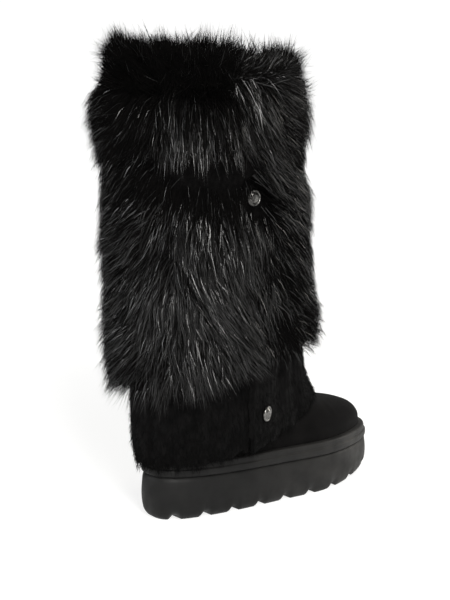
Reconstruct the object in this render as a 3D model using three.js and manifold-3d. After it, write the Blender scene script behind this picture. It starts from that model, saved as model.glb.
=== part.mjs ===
// A tall fur boot for the right foot: a suede foot on a lugged platform sole, and a wrapped fur shaft
// whose ribbed lower cuff hangs over the ankle. Two snaps close the shaft on its outer side.
// Millimetres. +X points to the toe, +Y to the inner side of the foot and +Z up.
// The origin is on the floor, under the middle of the heel.
import * as THREE from "three";
import { mergeVertices } from "three/addons/utils/BufferGeometryUtils.js";
import Module from "manifold-3d";

const wasm = await Module();
wasm.setup();

// Driving dimensions
const SOLE_LENGTH = 280;
const BALL_WIDTH = 104;
const HEEL_BACK = 60; // from the origin back to the end of the heel
const LEG_X = 15; // axis of the leg, ahead of the origin
const FOXING_HEIGHT = 14;
const TOE_SPRING = 10;
const SPRING_START = 0.62; // share of the length where the sole leaves the floor
const GAP = 0.3; // clearance between pieces that meet
const UPPER_INSET = 7; // from the sole's outline to the outside of the upper
const UPPER_WALL = 2.2;
const INSOLE_THICKNESS = 5;
const INSOLE_EDGE = 1.5;
const CUFF_WALL = 4;
const SHAFT_TOP = 438; // highest point of the shaft's rim under the standing locks
const SNAP_RADIUS = 7.5;
const SNAP_HEIGHT = 4;

const RING_POINTS = 56; // points round each section
const CUTTER_LID = 0.9; // height of a cutting form over the ring it ends in
const NORMAL_STEP = 0.02; // step along a surface for finding where it faces
const HEEL_X = -HEEL_BACK;
const DEGREE = Math.PI / 180;
const { clamp, lerp, euclideanModulo } = THREE.MathUtils;

// The sole along its length, from heel to toe: half widths to the outer and inner side and the sideways
// place of the middle line, as shares of the ball width, and the height of the groove under the foxing.
const SOLE_SECTIONS = [
  { share: 0.0, outer: 0.41, inner: 0.37, middle: 0.0, top: 44 },
  { share: 0.2, outer: 0.42, inner: 0.38, middle: 0.0, top: 41.5 },
  { share: 0.45, outer: 0.46, inner: 0.37, middle: 0.0, top: 39.5 },
  { share: 0.7, outer: 0.53, inner: 0.46, middle: 0.0, top: 37.5 },
  { share: 1.0, outer: 0.5, inner: 0.47, middle: 0.03, top: 35.5 },
];
const END_SQUARENESS = 2.5; // exponent of the rounded ends, where 2 is an ellipse

// The outsole's side from the floor to the groove: out is the distance beyond the plan outline.
const OUTSOLE_SIDE = [
  { height: 0.0, out: -4.5 },
  { height: 0.07, out: -1.8 },
  { height: 0.2, out: 0.2 },
  { height: 0.5, out: 1.0 },
  { height: 0.8, out: 0.2 },
  { height: 0.95, out: -0.6 },
  { height: 1.0, out: -2.4 },
];

// The foxing's outer face from the groove up: a rounded lower rib and a band set back above it.
const FOXING_SIDE = [
  { height: 0.0, out: -1.8 },
  { height: 0.12, out: 0.5 },
  { height: 0.5, out: 0.7 },
  { height: 0.6, out: -0.8 },
  { height: 0.88, out: -1.2 },
  { height: 1.0, out: -3.0 },
];

// Grooves across the tread leave the lugs between them, and a notch cuts each corner of the toe.
const LUG_GROOVE = { first: 0.051, pitch: 0.109, count: 8, depth: 6, floor: 11, roof: 7 };
const TOE_NOTCH = { share: 0.93, reach: 16 };

// The upper's sections from the feather edge to the collar, measured from the leg's axis. Each is a closed
// ring that leans from its back point to its front point. width is a share of the foot outline's width, and
// oval turns the foot outline into an ellipse with the half width side.
const UPPER_SECTIONS = [
  { level: 0.0, back: -68, backZ: 44, front: 198, frontZ: 36, width: 1.0, oval: 0, side: 45 },
  { level: 0.12, back: -68, backZ: 58, front: 198, frontZ: 49, width: 1.0, oval: 0, side: 45 },
  { level: 0.24, back: -69, backZ: 70, front: 196, frontZ: 61, width: 1.0, oval: 0, side: 44 },
  { level: 0.36, back: -68, backZ: 82, front: 184, frontZ: 72, width: 0.94, oval: 0.05, side: 41 },
  { level: 0.5, back: -66, backZ: 95, front: 158, frontZ: 81, width: 0.86, oval: 0.25, side: 38 },
  { level: 0.64, back: -65, backZ: 110, front: 126, frontZ: 89, width: 0.8, oval: 0.6, side: 38 },
  { level: 0.76, back: -66, backZ: 126, front: 100, frontZ: 106, width: 0.8, oval: 1, side: 42 },
  { level: 0.88, back: -70, backZ: 145, front: 92, frontZ: 138, width: 0.8, oval: 1, side: 54 },
  { level: 1.0, back: -76, backZ: 166, front: 99, frontZ: 168, width: 0.8, oval: 1, side: 63 },
];
const UPPER_ROWS = 11;

// The cuff's sections from the hem up, measured from the leg's axis. The hem stays low round the heel and
// sweeps up over the instep: sweep is the exponent of that rise, outer and inner are the half widths.
const CUFF_SECTIONS = [
  { level: 0.0, back: -81, backZ: 55, front: 132, frontZ: 95, outer: 51, inner: 50, sweep: 1.9 },
  { level: 0.25, back: -85, backZ: 76, front: 122, frontZ: 108, outer: 57, inner: 55, sweep: 1.6 },
  { level: 0.6, back: -84, backZ: 112, front: 109, frontZ: 134, outer: 63, inner: 62, sweep: 1.3 },
  { level: 1.0, back: -81, backZ: 168, front: 104, frontZ: 170, outer: 67, inner: 67, sweep: 1 },
];
const CUFF_ROWS = 6;

// The overlapping edge of the wrap closing: it stands proud of the cuff on its toe side and fades forward.
const CLOSING = { angle: 261, proud: 7, fade: 30 };

// The fur shaft's sections from the hem to the rim: the middle of the section ahead of the leg's axis, the
// half sizes of its lining fore and aft and to the sides, and the depth of the fur in both directions.
const SHAFT_SECTIONS = [
  { z: 100, middle: 8, length: 90, width: 66, fur: 14, sideFur: 26 },
  { z: 160, middle: 6, length: 88, width: 66, fur: 16, sideFur: 28 },
  { z: 230, middle: 1, length: 82, width: 69, fur: 20, sideFur: 27 },
  { z: 320, middle: -4, length: 77, width: 70, fur: 22, sideFur: 25 },
  { z: 390, middle: -7, length: 74, width: 70, fur: 21, sideFur: 22 },
  { z: SHAFT_TOP, middle: -11, length: 73, width: 70, fur: 16, sideFur: 16 },
];
const LINING_ROWS = 6;
const PARTING = { angle: 268, depth: 0.4, halfWidth: 9 }; // valley in the fur along the wrap closing

// Three edges lean round the shaft: the hem rises to the outer front, the lower edge of the turned-down top
// hangs lowest on the outer side, and the rim is highest at the inner back. highest is an angle in degrees.
const HEM = { middle: 141, swing: 16, highest: 320 };
const TOP_EDGE = { middle: 362, swing: 26, highest: 65 };
const RIM = { middle: 431, swing: 6, highest: 139 };

// Tiers of fur locks, one above the other. share runs from 0 at the hem to 1 at the edge of the turned-down
// top and on to 2 at the rim, drop is how far the tips hang below it and proud how far the tier stands out.
const FUR_TIERS = [
  { share: 0.0, drop: 14, proud: 0 },
  { share: 0.2, drop: 16, proud: 0 },
  { share: 0.4, drop: 16, proud: 0 },
  { share: 0.6, drop: 16, proud: 0 },
  { share: 0.8, drop: 16, proud: 0 },
  { share: 1.0, drop: 16, proud: 3 },
  { share: 1.45, drop: 14, proud: 1 },
];
// A lock is a ridge from a sunken root over a full belly to a free tip, with a valley on either side of it.
// Depths are shares of the fur's depth, lifts are heights over the tier's edge.
const LOCK = { root: 0.86, rootLift: 5, tip: 1.12, belly: 1.16, bellyLift: 22, valley: 1.0 };
// The locks' lengths vary in a wave: its size as a share, and its turn in radians a column and a tier.
const LOCK_WAVE = { size: 0.4, column: 2.4, tier: 1.7 };
const RIM_LOCK = { tip: 0.75, rise: 14, inset: 8 };

// The snaps, and the bare hollow in the fur round the upper one: a bowl with a flat floor.
const UPPER_SNAP = { angle: 266, z: 310, seat: 3 };
const SNAP_BOWL = { floor: 12, mouth: 30, depth: 44, sides: 16 };
const LOWER_SNAP = { angle: 270, level: 0.42 };
const SNAP_SIDES = 20;

// A snap cap's half section from its seat to its crown, as shares of its radius and height.
const SNAP_PROFILE = [
  { radius: 0, height: 0 },
  { radius: 0.86, height: 0 },
  { radius: 1, height: 0.25 },
  { radius: 0.97, height: 0.5 },
  { radius: 0.84, height: 0.55 },
  { radius: 0.76, height: 0.45 },
  { radius: 0.55, height: 0.85 },
  { radius: 0, height: 1 },
];

const SUEDE = { color: 0x161514, roughness: 0.95, metalness: 0 };
const RUBBER = { color: 0x1b1b1a, roughness: 0.75, metalness: 0 };
const KNIT = { color: 0x131212, roughness: 1, metalness: 0 };
const FUR = { color: 0x0d0c0c, roughness: 0.6, metalness: 0 };
const PEWTER = { color: 0x9a958c, roughness: 0.35, metalness: 1 };

// Reads one column of a table as a smooth curve over another column.
function curveOf(table, by, name) {
  const last = table.length - 1;
  const slope = (i) => {
    const before = table[Math.max(i - 1, 0)];
    const after = table[Math.min(i + 1, last)];
    return (after[name] - before[name]) / (after[by] - before[by]);
  };
  return (at) => {
    const next = table.findIndex((row) => row[by] > at);
    const i = next < 0 ? last - 1 : Math.max(next - 1, 0);
    const step = table[i + 1][by] - table[i][by];
    const t = clamp((at - table[i][by]) / step, 0, 1);
    const from = table[i][name] * (1 + 2 * t) + slope(i) * step * t;
    const to = table[i + 1][name] * (3 - 2 * t) - slope(i + 1) * step * (1 - t);
    return from * (1 - t) ** 2 + to * t ** 2;
  };
}

// All the other columns of a table as curves over one column.
function curvesOf(table, by) {
  const names = Object.keys(table[0]).filter((name) => name !== by);
  return Object.fromEntries(names.map((name) => [name, curveOf(table, by, name)]));
}

const sole = curvesOf(SOLE_SECTIONS, "share");
const foot = curvesOf(UPPER_SECTIONS, "level");
const band = curvesOf(CUFF_SECTIONS, "level");
const shaft = curvesOf(SHAFT_SECTIONS, "z");

// Angles round a section run from 0 at the toe over the inner side, the heel and the outer side.
const RING = Array.from({ length: RING_POINTS }, (_, j) => (2 * Math.PI * j) / RING_POINTS);
const lengthShare = (angle) => (1 + Math.cos(angle)) / 2;

// Half height of a rounded outline, 1 in the middle of its length and 0 at both ends.
function endRound(angle) {
  return (1 - Math.abs(Math.cos(angle)) ** END_SQUARENESS) ** (1 / END_SQUARENESS);
}

// The sole's outline moved out by a distance, as points in the floor plane.
function planRing(out) {
  const base = RING.map((angle) => {
    const share = lengthShare(angle);
    const half = Math.sin(angle) >= 0 ? sole.inner(share) : -sole.outer(share);
    const y = BALL_WIDTH * (half * endRound(angle) + sole.middle(share));
    return new THREE.Vector2(HEEL_X + SOLE_LENGTH * share, y);
  });
  return base.map((point, j) => {
    const along = base[(j + 1) % RING_POINTS].clone().sub(base[(j + RING_POINTS - 1) % RING_POINTS]);
    const outward = new THREE.Vector2(along.y, -along.x).normalize();
    return point.clone().addScaledVector(outward, out);
  });
}

// Height of the tread over the floor: flat, then curving up to the toe spring.
function treadHeight(x) {
  const start = HEEL_X + SOLE_LENGTH * SPRING_START;
  return TOE_SPRING * clamp((x - start) / (HEEL_X + SOLE_LENGTH - start), 0, 1) ** 2;
}

// Height of the groove under the foxing, raised by a distance.
const soleTop = (raised) => (x) => raised + sole.top(clamp((x - HEEL_X) / SOLE_LENGTH, 0, 1));

// Rings of the sole's side: each row is moved out from the plan and stands between two heights.
function sideRings(rows, bottomAt, topAt) {
  return rows.map((row) =>
    planRing(row.out).map((p) => new THREE.Vector3(p.x, p.y, lerp(bottomAt(p.x), topAt(p.x), row.height))),
  );
}

// Moves a grid of rings along its own normals. Rings run counterclockwise from above, lowest first.
function offsetRings(rings, distance) {
  const count = rings[0].length;
  return rings.map((ring, r) =>
    ring.map((point, j) => {
      const above = rings[Math.min(r + 1, rings.length - 1)][j];
      const below = rings[Math.max(r - 1, 0)][j];
      const round = ring[(j + 1) % count].clone().sub(ring[(j + count - 1) % count]);
      const normal = round.cross(above.clone().sub(below)).normalize();
      return point.clone().addScaledVector(normal, distance);
    }),
  );
}

// Two triangles for each cell between two rings that start at two places in the list of points.
function wallBetween(lower, upper, count) {
  return Array.from({ length: count }, (_, j) => {
    const k = (j + 1) % count;
    return [lower + j, lower + k, upper + k, lower + j, upper + k, upper + j];
  }).flat();
}

// Strips across a ring from one side to the other, facing up.
function capAcross(start, count) {
  const half = count / 2;
  const strips = Array.from({ length: half - 1 }, (_, i) => {
    const j = i + 1;
    const strip = [start + j, start + j + 1, start + count - j];
    return j === half - 1 ? strip : [...strip, start + count - j, start + j + 1, start + count - j - 1];
  });
  return [start, start + 1, start + count - 1, ...strips.flat()];
}

function solidOf(points, triangles) {
  const vertProperties = new Float32Array(points.flatMap((p) => p.toArray()));
  const triVerts = new Uint32Array(triangles);
  return new wasm.Manifold(new wasm.Mesh({ numProp: 3, vertProperties, triVerts }));
}

function solidOfGeometry(geometry) {
  geometry.deleteAttribute("normal");
  geometry.deleteAttribute("uv");
  const merged = mergeVertices(geometry);
  const vertProperties = merged.getAttribute("position").array;
  return new wasm.Manifold(
    new wasm.Mesh({ numProp: 3, vertProperties, triVerts: new Uint32Array(merged.index.array) }),
  );
}

// A full solid through rings, closed by caps at its lowest and highest ring.
function fullSolid(rings) {
  const count = rings[0].length;
  const walls = rings.slice(1).flatMap((_, r) => wallBetween(r * count, (r + 1) * count, count));
  const bottom = capAcross(0, count).toReversed();
  return solidOf(rings.flat(), [...walls, ...bottom, ...capAcross((rings.length - 1) * count, count)]);
}

// A hollow solid between outer and inner rings, both given from the bottom up.
function hollowSolid(outer, inner) {
  const rings = [...outer, ...inner.toReversed()];
  const count = rings[0].length;
  const walls = rings.flatMap((_, r) => wallBetween(r * count, ((r + 1) % rings.length) * count, count));
  return solidOf(rings.flat(), walls);
}

function meshOf(name, solid, finish) {
  const mesh = solid.getMesh();
  const geometry = new THREE.BufferGeometry();
  geometry.setAttribute("position", new THREE.BufferAttribute(mesh.vertProperties, 3));
  geometry.setIndex(new THREE.BufferAttribute(mesh.triVerts, 1));
  geometry.computeVertexNormals();
  const made = new THREE.Mesh(geometry, new THREE.MeshStandardMaterial(finish));
  made.name = name;
  return made;
}

// A groove of trapezoid section in the tread, from a point in the floor plane along a direction.
function grooveCutter(start, direction, length) {
  const { depth, floor, roof } = LUG_GROOVE;
  const corners = [
    [-floor / 2, -depth],
    [floor / 2, -depth],
    [floor / 2, 0],
    [roof / 2, depth],
    [-roof / 2, depth],
    [-floor / 2, 0],
  ];
  const section = new THREE.Shape(corners.map(([across, up]) => new THREE.Vector2(across, up)));
  const geometry = new THREE.ExtrudeGeometry(section, { depth: length, bevelEnabled: false });
  geometry.rotateX(Math.PI / 2);
  geometry.rotateZ(direction.angle() + Math.PI / 2);
  geometry.translate(start.x, start.y, treadHeight(start.x));
  return solidOfGeometry(geometry);
}

function makeOutsole() {
  let solid = fullSolid(sideRings(OUTSOLE_SIDE, treadHeight, soleTop(0)));
  const outward = new THREE.Vector2(0, -1);
  for (let i = 0; i < LUG_GROOVE.count; i += 1) {
    const x = HEEL_X + SOLE_LENGTH * (LUG_GROOVE.first + i * LUG_GROOVE.pitch);
    solid = solid.subtract(grooveCutter(new THREE.Vector2(x, BALL_WIDTH), outward, 2 * BALL_WIDTH));
  }
  const edge = planRing(0);
  const inside = planRing(-TOE_NOTCH.reach);
  const corner = Math.round((Math.acos(2 * TOE_NOTCH.share - 1) / (2 * Math.PI)) * RING_POINTS);
  for (const j of [corner, RING_POINTS - corner]) {
    const run = edge[j].clone().sub(inside[j]);
    solid = solid.subtract(grooveCutter(inside[j], run, 2 * TOE_NOTCH.reach));
  }
  return meshOf("outsole", solid, RUBBER);
}

function makeFoxing() {
  const bottom = soleTop(GAP);
  const top = soleTop(FOXING_HEIGHT);
  const inside = [0, 1].map((height) => ({ height, out: GAP - UPPER_INSET }));
  const solid = hollowSolid(sideRings(FOXING_SIDE, bottom, top), sideRings(inside, bottom, top));
  return meshOf("foxing", solid, RUBBER);
}

function makeInsole() {
  const out = -UPPER_INSET - UPPER_WALL - GAP;
  const rows = [
    { height: 0, out },
    { height: 1 - INSOLE_EDGE / INSOLE_THICKNESS, out },
    { height: 1, out: out - INSOLE_EDGE },
  ];
  return meshOf("insole", fullSolid(sideRings(rows, soleTop(GAP), soleTop(GAP + INSOLE_THICKNESS))), SUEDE);
}

// Rings of the upper: the sole's outline drawn in, narrowed and lifted, turning oval towards the collar.
function upperRings() {
  const outline = planRing(-UPPER_INSET);
  const footLength = SOLE_LENGTH - 2 * UPPER_INSET;
  return Array.from({ length: UPPER_ROWS }, (_, r) => {
    const at = r / (UPPER_ROWS - 1);
    const oval = foot.oval(at);
    return outline.map((p, j) => {
      const footShare = clamp((p.x - HEEL_X - UPPER_INSET) / footLength, 0, 1);
      const share = lerp(footShare, lengthShare(RING[j]), oval);
      const y = lerp(p.y * foot.width(at), Math.sin(RING[j]) * foot.side(at), oval);
      const x = LEG_X + lerp(foot.back(at), foot.front(at), share);
      const z = r === 0 ? soleTop(GAP)(x) : lerp(foot.backZ(at), foot.frontZ(at), share);
      return new THREE.Vector3(x, y, z);
    });
  });
}

// A grid's outer form as a full solid, grown and a little taller, for cutting what lies on it.
function grownForm(rings, grow) {
  const grown = offsetRings(rings, grow);
  const lid = grown.at(-1).map((p) => p.clone().setZ(p.z + CUTTER_LID));
  return fullSolid([...grown, lid]);
}

function makeUpper() {
  const outer = upperRings();
  const inner = offsetRings(outer, -UPPER_WALL);
  inner[0].forEach((p) => (p.z = soleTop(GAP)(p.x)));
  return meshOf("upper", hollowSolid(outer, inner), SUEDE);
}

// How far the overlapping edge of the wrap closing stands out at an angle round the cuff.
function closingStep(angle) {
  const ahead = euclideanModulo(angle / DEGREE - CLOSING.angle, 360);
  return CLOSING.proud * Math.max(0, 1 - ahead / CLOSING.fade);
}

function cuffPoint(angle, at) {
  const share = lengthShare(angle);
  const half = Math.sin(angle) >= 0 ? band.inner(at) : band.outer(at) + closingStep(angle);
  const x = LEG_X + lerp(band.back(at), band.front(at), share);
  const z = lerp(band.backZ(at), band.frontZ(at), share ** band.sweep(at));
  return new THREE.Vector3(x, half * Math.sin(angle), z);
}

const cuffRings = () =>
  Array.from({ length: CUFF_ROWS }, (_, r) => RING.map((angle) => cuffPoint(angle, r / (CUFF_ROWS - 1))));

// The cuff hangs on the collar of the upper, and its hem lies on the vamp and on the foxing.
function makeCuff() {
  const outer = cuffRings();
  const grown = FOXING_SIDE.map((row) => ({ ...row, out: row.out + GAP }));
  const soleForm = fullSolid(sideRings(grown, treadHeight, soleTop(FOXING_HEIGHT + GAP)));
  const wall = hollowSolid(outer, offsetRings(outer, -CUFF_WALL));
  return meshOf("cuff", wall.subtract(grownForm(upperRings(), GAP)).subtract(soleForm), KNIT);
}

const leaning = (edge, angle) => edge.middle + edge.swing * Math.cos(angle - edge.highest * DEGREE);

// Height on the shaft of a place between the hem, the edge of the turned-down top and the rim.
function shaftHeight(angle, share) {
  const top = leaning(TOP_EDGE, angle);
  return share <= 1 ? lerp(leaning(HEM, angle), top, share) : lerp(top, leaning(RIM, angle), share - 1);
}

// Share of the fur that is left in the valley along the wrap closing.
function partingShare(angle) {
  const off = ((angle - PARTING.angle * DEGREE) * shaft.width(SHAFT_TOP)) / PARTING.halfWidth;
  return 1 - PARTING.depth * Math.exp(-(off ** 2));
}

// A point of the shaft at a height, a share of the fur's depth and a distance more from the lining.
function shaftPoint(angle, z, depth, more) {
  const left = depth * partingShare(angle);
  const long = shaft.length(z) + left * shaft.fur(z) + more;
  const wide = shaft.width(z) + left * shaft.sideFur(z) + more;
  return new THREE.Vector3(LEG_X + shaft.middle(z) + long * Math.cos(angle), wide * Math.sin(angle), z);
}

// Every second column of a tier is the ridge of a lock, and the next tier's locks stand between them.
const isRidge = (j, tier) => (j + tier) % 2 === 0;
function unevenness(j, tier) {
  return 1 + LOCK_WAVE.size * Math.sin(LOCK_WAVE.column * j + LOCK_WAVE.tier * tier);
}

// The three rings of a tier: its root under the tips, the tips and the belly of its locks.
function tierRings({ share, drop, proud }, tier) {
  const ring = (pointAt) => RING.map((angle, j) => pointAt(angle, j, shaftHeight(angle, share)));
  const root = ring((angle, j, edge) => shaftPoint(angle, edge + LOCK.rootLift, LOCK.root, 0));
  const tips = ring((angle, j, edge) => {
    if (!isRidge(j, tier)) return shaftPoint(angle, edge, LOCK.valley, proud);
    return shaftPoint(angle, edge - drop * unevenness(j, tier), LOCK.tip, proud);
  });
  const belly = ring((angle, j, edge) => {
    const depth = isRidge(j, tier) ? LOCK.belly : LOCK.valley;
    return shaftPoint(angle, edge + LOCK.bellyLift, depth, proud);
  });
  return [root, tips, belly];
}

// The rim: a ring of locks that stand up and outwards round the opening.
function rimRing() {
  return RING.map((angle, j) => {
    const rise = isRidge(j, 0) ? RIM_LOCK.rise * unevenness(j, 0) : 0;
    return shaftPoint(angle, leaning(RIM, angle) + rise, RIM_LOCK.tip, 0);
  });
}

function liningRings() {
  return Array.from({ length: LINING_ROWS }, (_, r) =>
    RING.map((angle) => {
      const bottom = leaning(HEM, angle) + LOCK.rootLift;
      const z = lerp(bottom, leaning(RIM, angle) - RIM_LOCK.inset, r / (LINING_ROWS - 1));
      return shaftPoint(angle, z, 0, 0);
    }),
  );
}

// The hollow round the upper snap, with its floor on a seat just proud of the lining.
function snapBowl() {
  const { floor, mouth, depth, sides } = SNAP_BOWL;
  const profile = [[0, 0], [floor, 0], [mouth, depth], [0, depth]];
  const bowl = new THREE.LatheGeometry(profile.map(([r, y]) => new THREE.Vector2(r, y)), sides);
  const angle = UPPER_SNAP.angle * DEGREE;
  const out = new THREE.Vector3(Math.cos(angle), Math.sin(angle), 0);
  bowl.applyQuaternion(new THREE.Quaternion().setFromUnitVectors(new THREE.Vector3(0, 1, 0), out));
  const seat = shaftPoint(angle, UPPER_SNAP.z, 0, UPPER_SNAP.seat);
  return solidOfGeometry(bowl.translate(seat.x, seat.y, seat.z));
}

function makeFurShaft() {
  const solid = hollowSolid([...FUR_TIERS.flatMap(tierRings), rimRing()], liningRings());
  return meshOf("fur_shaft", solid.subtract(snapBowl()).subtract(grownForm(cuffRings(), GAP)), FUR);
}

// A domed snap cap with a raised rim, seated at a point and facing along a direction.
function makeSnap(name, seat, facing) {
  const profile = SNAP_PROFILE.map(
    (row) => new THREE.Vector2(row.radius * SNAP_RADIUS, row.height * SNAP_HEIGHT),
  );
  const cap = new THREE.LatheGeometry(profile, SNAP_SIDES);
  const snap = new THREE.Mesh(cap, new THREE.MeshStandardMaterial(PEWTER));
  snap.name = name;
  snap.quaternion.setFromUnitVectors(new THREE.Vector3(0, 1, 0), facing);
  snap.position.copy(seat).addScaledVector(facing, GAP);
  return snap;
}

function makeUpperSnap() {
  const angle = UPPER_SNAP.angle * DEGREE;
  const facing = new THREE.Vector3(Math.cos(angle), Math.sin(angle), 0);
  return makeSnap("snap_upper", shaftPoint(angle, UPPER_SNAP.z, 0, UPPER_SNAP.seat), facing);
}

// The lower snap faces along the cuff's own normal on the overlapping edge.
function makeLowerSnap() {
  const angle = LOWER_SNAP.angle * DEGREE;
  const at = LOWER_SNAP.level;
  const round = cuffPoint(angle + NORMAL_STEP, at).sub(cuffPoint(angle - NORMAL_STEP, at));
  const up = cuffPoint(angle, at + NORMAL_STEP).sub(cuffPoint(angle, at - NORMAL_STEP));
  const facing = round.cross(up).normalize();
  return makeSnap("snap_lower", cuffPoint(angle, at), facing);
}

const boot = new THREE.Group();
boot.add(makeOutsole(), makeFoxing(), makeInsole(), makeUpper());
boot.add(makeCuff(), makeFurShaft(), makeUpperSnap(), makeLowerSnap());
export default boot;
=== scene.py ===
import bpy
import numpy as np
from mathutils import Matrix


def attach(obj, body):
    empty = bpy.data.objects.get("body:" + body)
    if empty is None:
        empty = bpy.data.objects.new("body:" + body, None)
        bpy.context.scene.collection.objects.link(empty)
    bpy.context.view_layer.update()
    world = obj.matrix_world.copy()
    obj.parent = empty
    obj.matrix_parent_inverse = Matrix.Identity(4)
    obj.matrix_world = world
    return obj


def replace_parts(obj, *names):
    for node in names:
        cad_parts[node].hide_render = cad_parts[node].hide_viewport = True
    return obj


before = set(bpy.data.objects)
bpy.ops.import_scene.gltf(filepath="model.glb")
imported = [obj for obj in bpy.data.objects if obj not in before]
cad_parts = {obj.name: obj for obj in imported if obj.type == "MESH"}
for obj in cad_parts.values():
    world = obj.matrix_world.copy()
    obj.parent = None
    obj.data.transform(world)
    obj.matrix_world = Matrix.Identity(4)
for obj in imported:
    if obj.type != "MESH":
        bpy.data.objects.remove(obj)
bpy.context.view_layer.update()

# Camera, floor and light
# The boot stands on a white sweep under soft studio light, seen from behind on its outer side.
# The lens is long, so its uprights stay nearly parallel.
CAMERA_AZIMUTH = np.radians(-40.9)
CAMERA_ELEVATION = np.radians(12.2)
CAMERA_ROLL = np.radians(0.2)
CAMERA_DISTANCE = 1.475
CAMERA_AIM = np.array([0.080, 0.0, 0.1935])
CAMERA_SIDE_STEP = -0.0332
LENS_MM = 90.0
SENSOR_MM = 36.0
UP = np.array([0.0, 0.0, 1.0])
LEVEL = np.array([1.0, 1.0, 0.0])


def unit(vectors):
    """Vectors divided by their lengths."""
    return vectors / np.linalg.norm(vectors, axis=-1, keepdims=True)


def looking_frame(back, roll=0.0):
    """Right, up and back vectors of something that looks against back, turned by roll round that line."""
    right = unit(np.cross(-back, UP))
    up = np.cross(right, -back)
    return np.cos(roll) * right + np.sin(roll) * up, np.cos(roll) * up - np.sin(roll) * right, back


def placed(right, up, back, place):
    """A 4 by 4 matrix with those axes as its columns, moved to a place."""
    return Matrix(np.vstack([np.column_stack([right, up, back, place]), (0.0, 0.0, 0.0, 1.0)]).tolist())


camera_back = np.array([
    np.sin(CAMERA_AZIMUTH) * np.cos(CAMERA_ELEVATION),
    -np.cos(CAMERA_AZIMUTH) * np.cos(CAMERA_ELEVATION),
    np.sin(CAMERA_ELEVATION),
])
level_right = looking_frame(camera_back)[0]
level_back = unit(camera_back * LEVEL)
camera_place = CAMERA_AIM + CAMERA_SIDE_STEP * level_right + CAMERA_DISTANCE * camera_back
camera_data = bpy.data.cameras.new("camera")
camera_data.sensor_fit = "VERTICAL"
camera_data.sensor_height = SENSOR_MM
camera_data.lens = LENS_MM
camera = bpy.data.objects.new("camera", camera_data)
camera.matrix_world = placed(*looking_frame(camera_back, CAMERA_ROLL), camera_place)
bpy.context.scene.collection.objects.link(camera)
bpy.context.scene.camera = camera
bpy.context.scene.view_settings.view_transform = "Standard"


def coordinate(tree, kind, axis):
    """One axis of a node tree's coordinates."""
    place = tree.nodes.new("ShaderNodeTexCoord")
    split = tree.nodes.new("ShaderNodeSeparateXYZ")
    tree.links.new(place.outputs[kind], split.inputs["Vector"])
    return split.outputs[axis]


def ranged(tree, value, low, high):
    """A value of a node tree carried from low to high. Each end is a pair: the value, and what it becomes."""
    node = tree.nodes.new("ShaderNodeMapRange")
    for socket, number in zip(("From Min", "To Min", "From Max", "To Max"), low + high):
        node.inputs[socket].default_value = number
    tree.links.new(value, node.inputs["Value"])
    return node.outputs["Result"]


# The room is white low down and dim overhead: height of the gaze at both ends, and the light there.
ROOM_LOW, ROOM_HIGH = (0.10, 1.0), (0.30, 0.12)
world = bpy.data.worlds.new("studio")
world.use_nodes = True
room = world.node_tree
room_light = room.nodes["Background"].inputs
room_light["Color"].default_value = (1.0, 1.0, 1.0, 1.0)
room_fade = ranged(room, coordinate(room, "Generated", "Z"), ROOM_LOW, ROOM_HIGH)
room.links.new(room_fade, room_light["Strength"])
bpy.context.scene.world = world

# Soft boxes: metres to the camera's right, towards the camera and up, then width, height, power and colour.
SOFT_BOXES = {
    "key_light": (0.45, 1.75, 1.35, 0.6, 1.5, 59.0, (1.0, 0.985, 0.96)),
    "fill_light": (-1.7, 0.5, 1.0, 0.5, 1.2, 20.0, (0.98, 0.99, 1.0)),
    "edge_light": (1.6, -0.7, 0.8, 0.5, 1.2, 12.0, (1.0, 0.96, 0.88)),
}
LIGHT_AIM = np.array([0.03, 0.0, 0.22])
for name, (to_right, to_camera, height, width, length, power, colour) in SOFT_BOXES.items():
    light_data = bpy.data.lights.new(name, "AREA")
    light_data.shape = "RECTANGLE"
    light_data.size = width
    light_data.size_y = length
    light_data.energy = power
    light_data.color = colour
    place = to_right * level_right + to_camera * level_back + LIGHT_AIM * LEVEL + height * UP
    light = bpy.data.objects.new(name, light_data)
    light.matrix_world = placed(*looking_frame(unit(place - LIGHT_AIM)), place)
    bpy.context.scene.collection.objects.link(light)


def put_mesh(name, points, quads, triangles=()):
    """A smooth mesh object at the origin from arrays of points, quads and triangles."""
    quads = np.asarray(quads, dtype=np.int32).reshape(-1, 4)
    triangles = np.asarray(triangles, dtype=np.int32).reshape(-1, 3)
    corners = np.concatenate([quads.ravel(), triangles.ravel()])
    starts = np.concatenate([4 * np.arange(len(quads)), quads.size + 3 * np.arange(len(triangles))])
    mesh = bpy.data.meshes.new(name)
    mesh.vertices.add(len(points))
    mesh.vertices.foreach_set("co", np.asarray(points, dtype=np.float32).ravel())
    mesh.loops.add(len(corners))
    mesh.loops.foreach_set("vertex_index", corners)
    mesh.polygons.add(len(starts))
    mesh.polygons.foreach_set("loop_start", starts.astype(np.int32))
    mesh.polygons.foreach_set("use_smooth", np.full(len(starts), True))
    mesh.update(calc_edges=True)
    piece = bpy.data.objects.new(name, mesh)
    bpy.context.scene.collection.objects.link(piece)
    return piece


def new_material(name, colour, finish):
    """A Principled material with a colour and its other sockets' values, its node tree and its sockets."""
    material = bpy.data.materials.new(name)
    material.use_nodes = True
    shader = material.node_tree.nodes["Principled BSDF"].inputs
    shader["Base Color"].default_value = (*colour, 1.0)
    for socket, value in finish.items():
        shader[socket].default_value = value
    return material, material.node_tree, shader


FLOOR_HALF = 30.0
FLOOR_CORNERS = ((-1, -1, 0), (1, -1, 0), (1, 1, 0), (-1, 1, 0))
FLOOR_GREY = (0.36, 0.36, 0.358)
FLOOR_FINISH = {"Roughness": 0.9, "Emission Color": (1.0, 1.0, 0.995, 1.0)}
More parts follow.
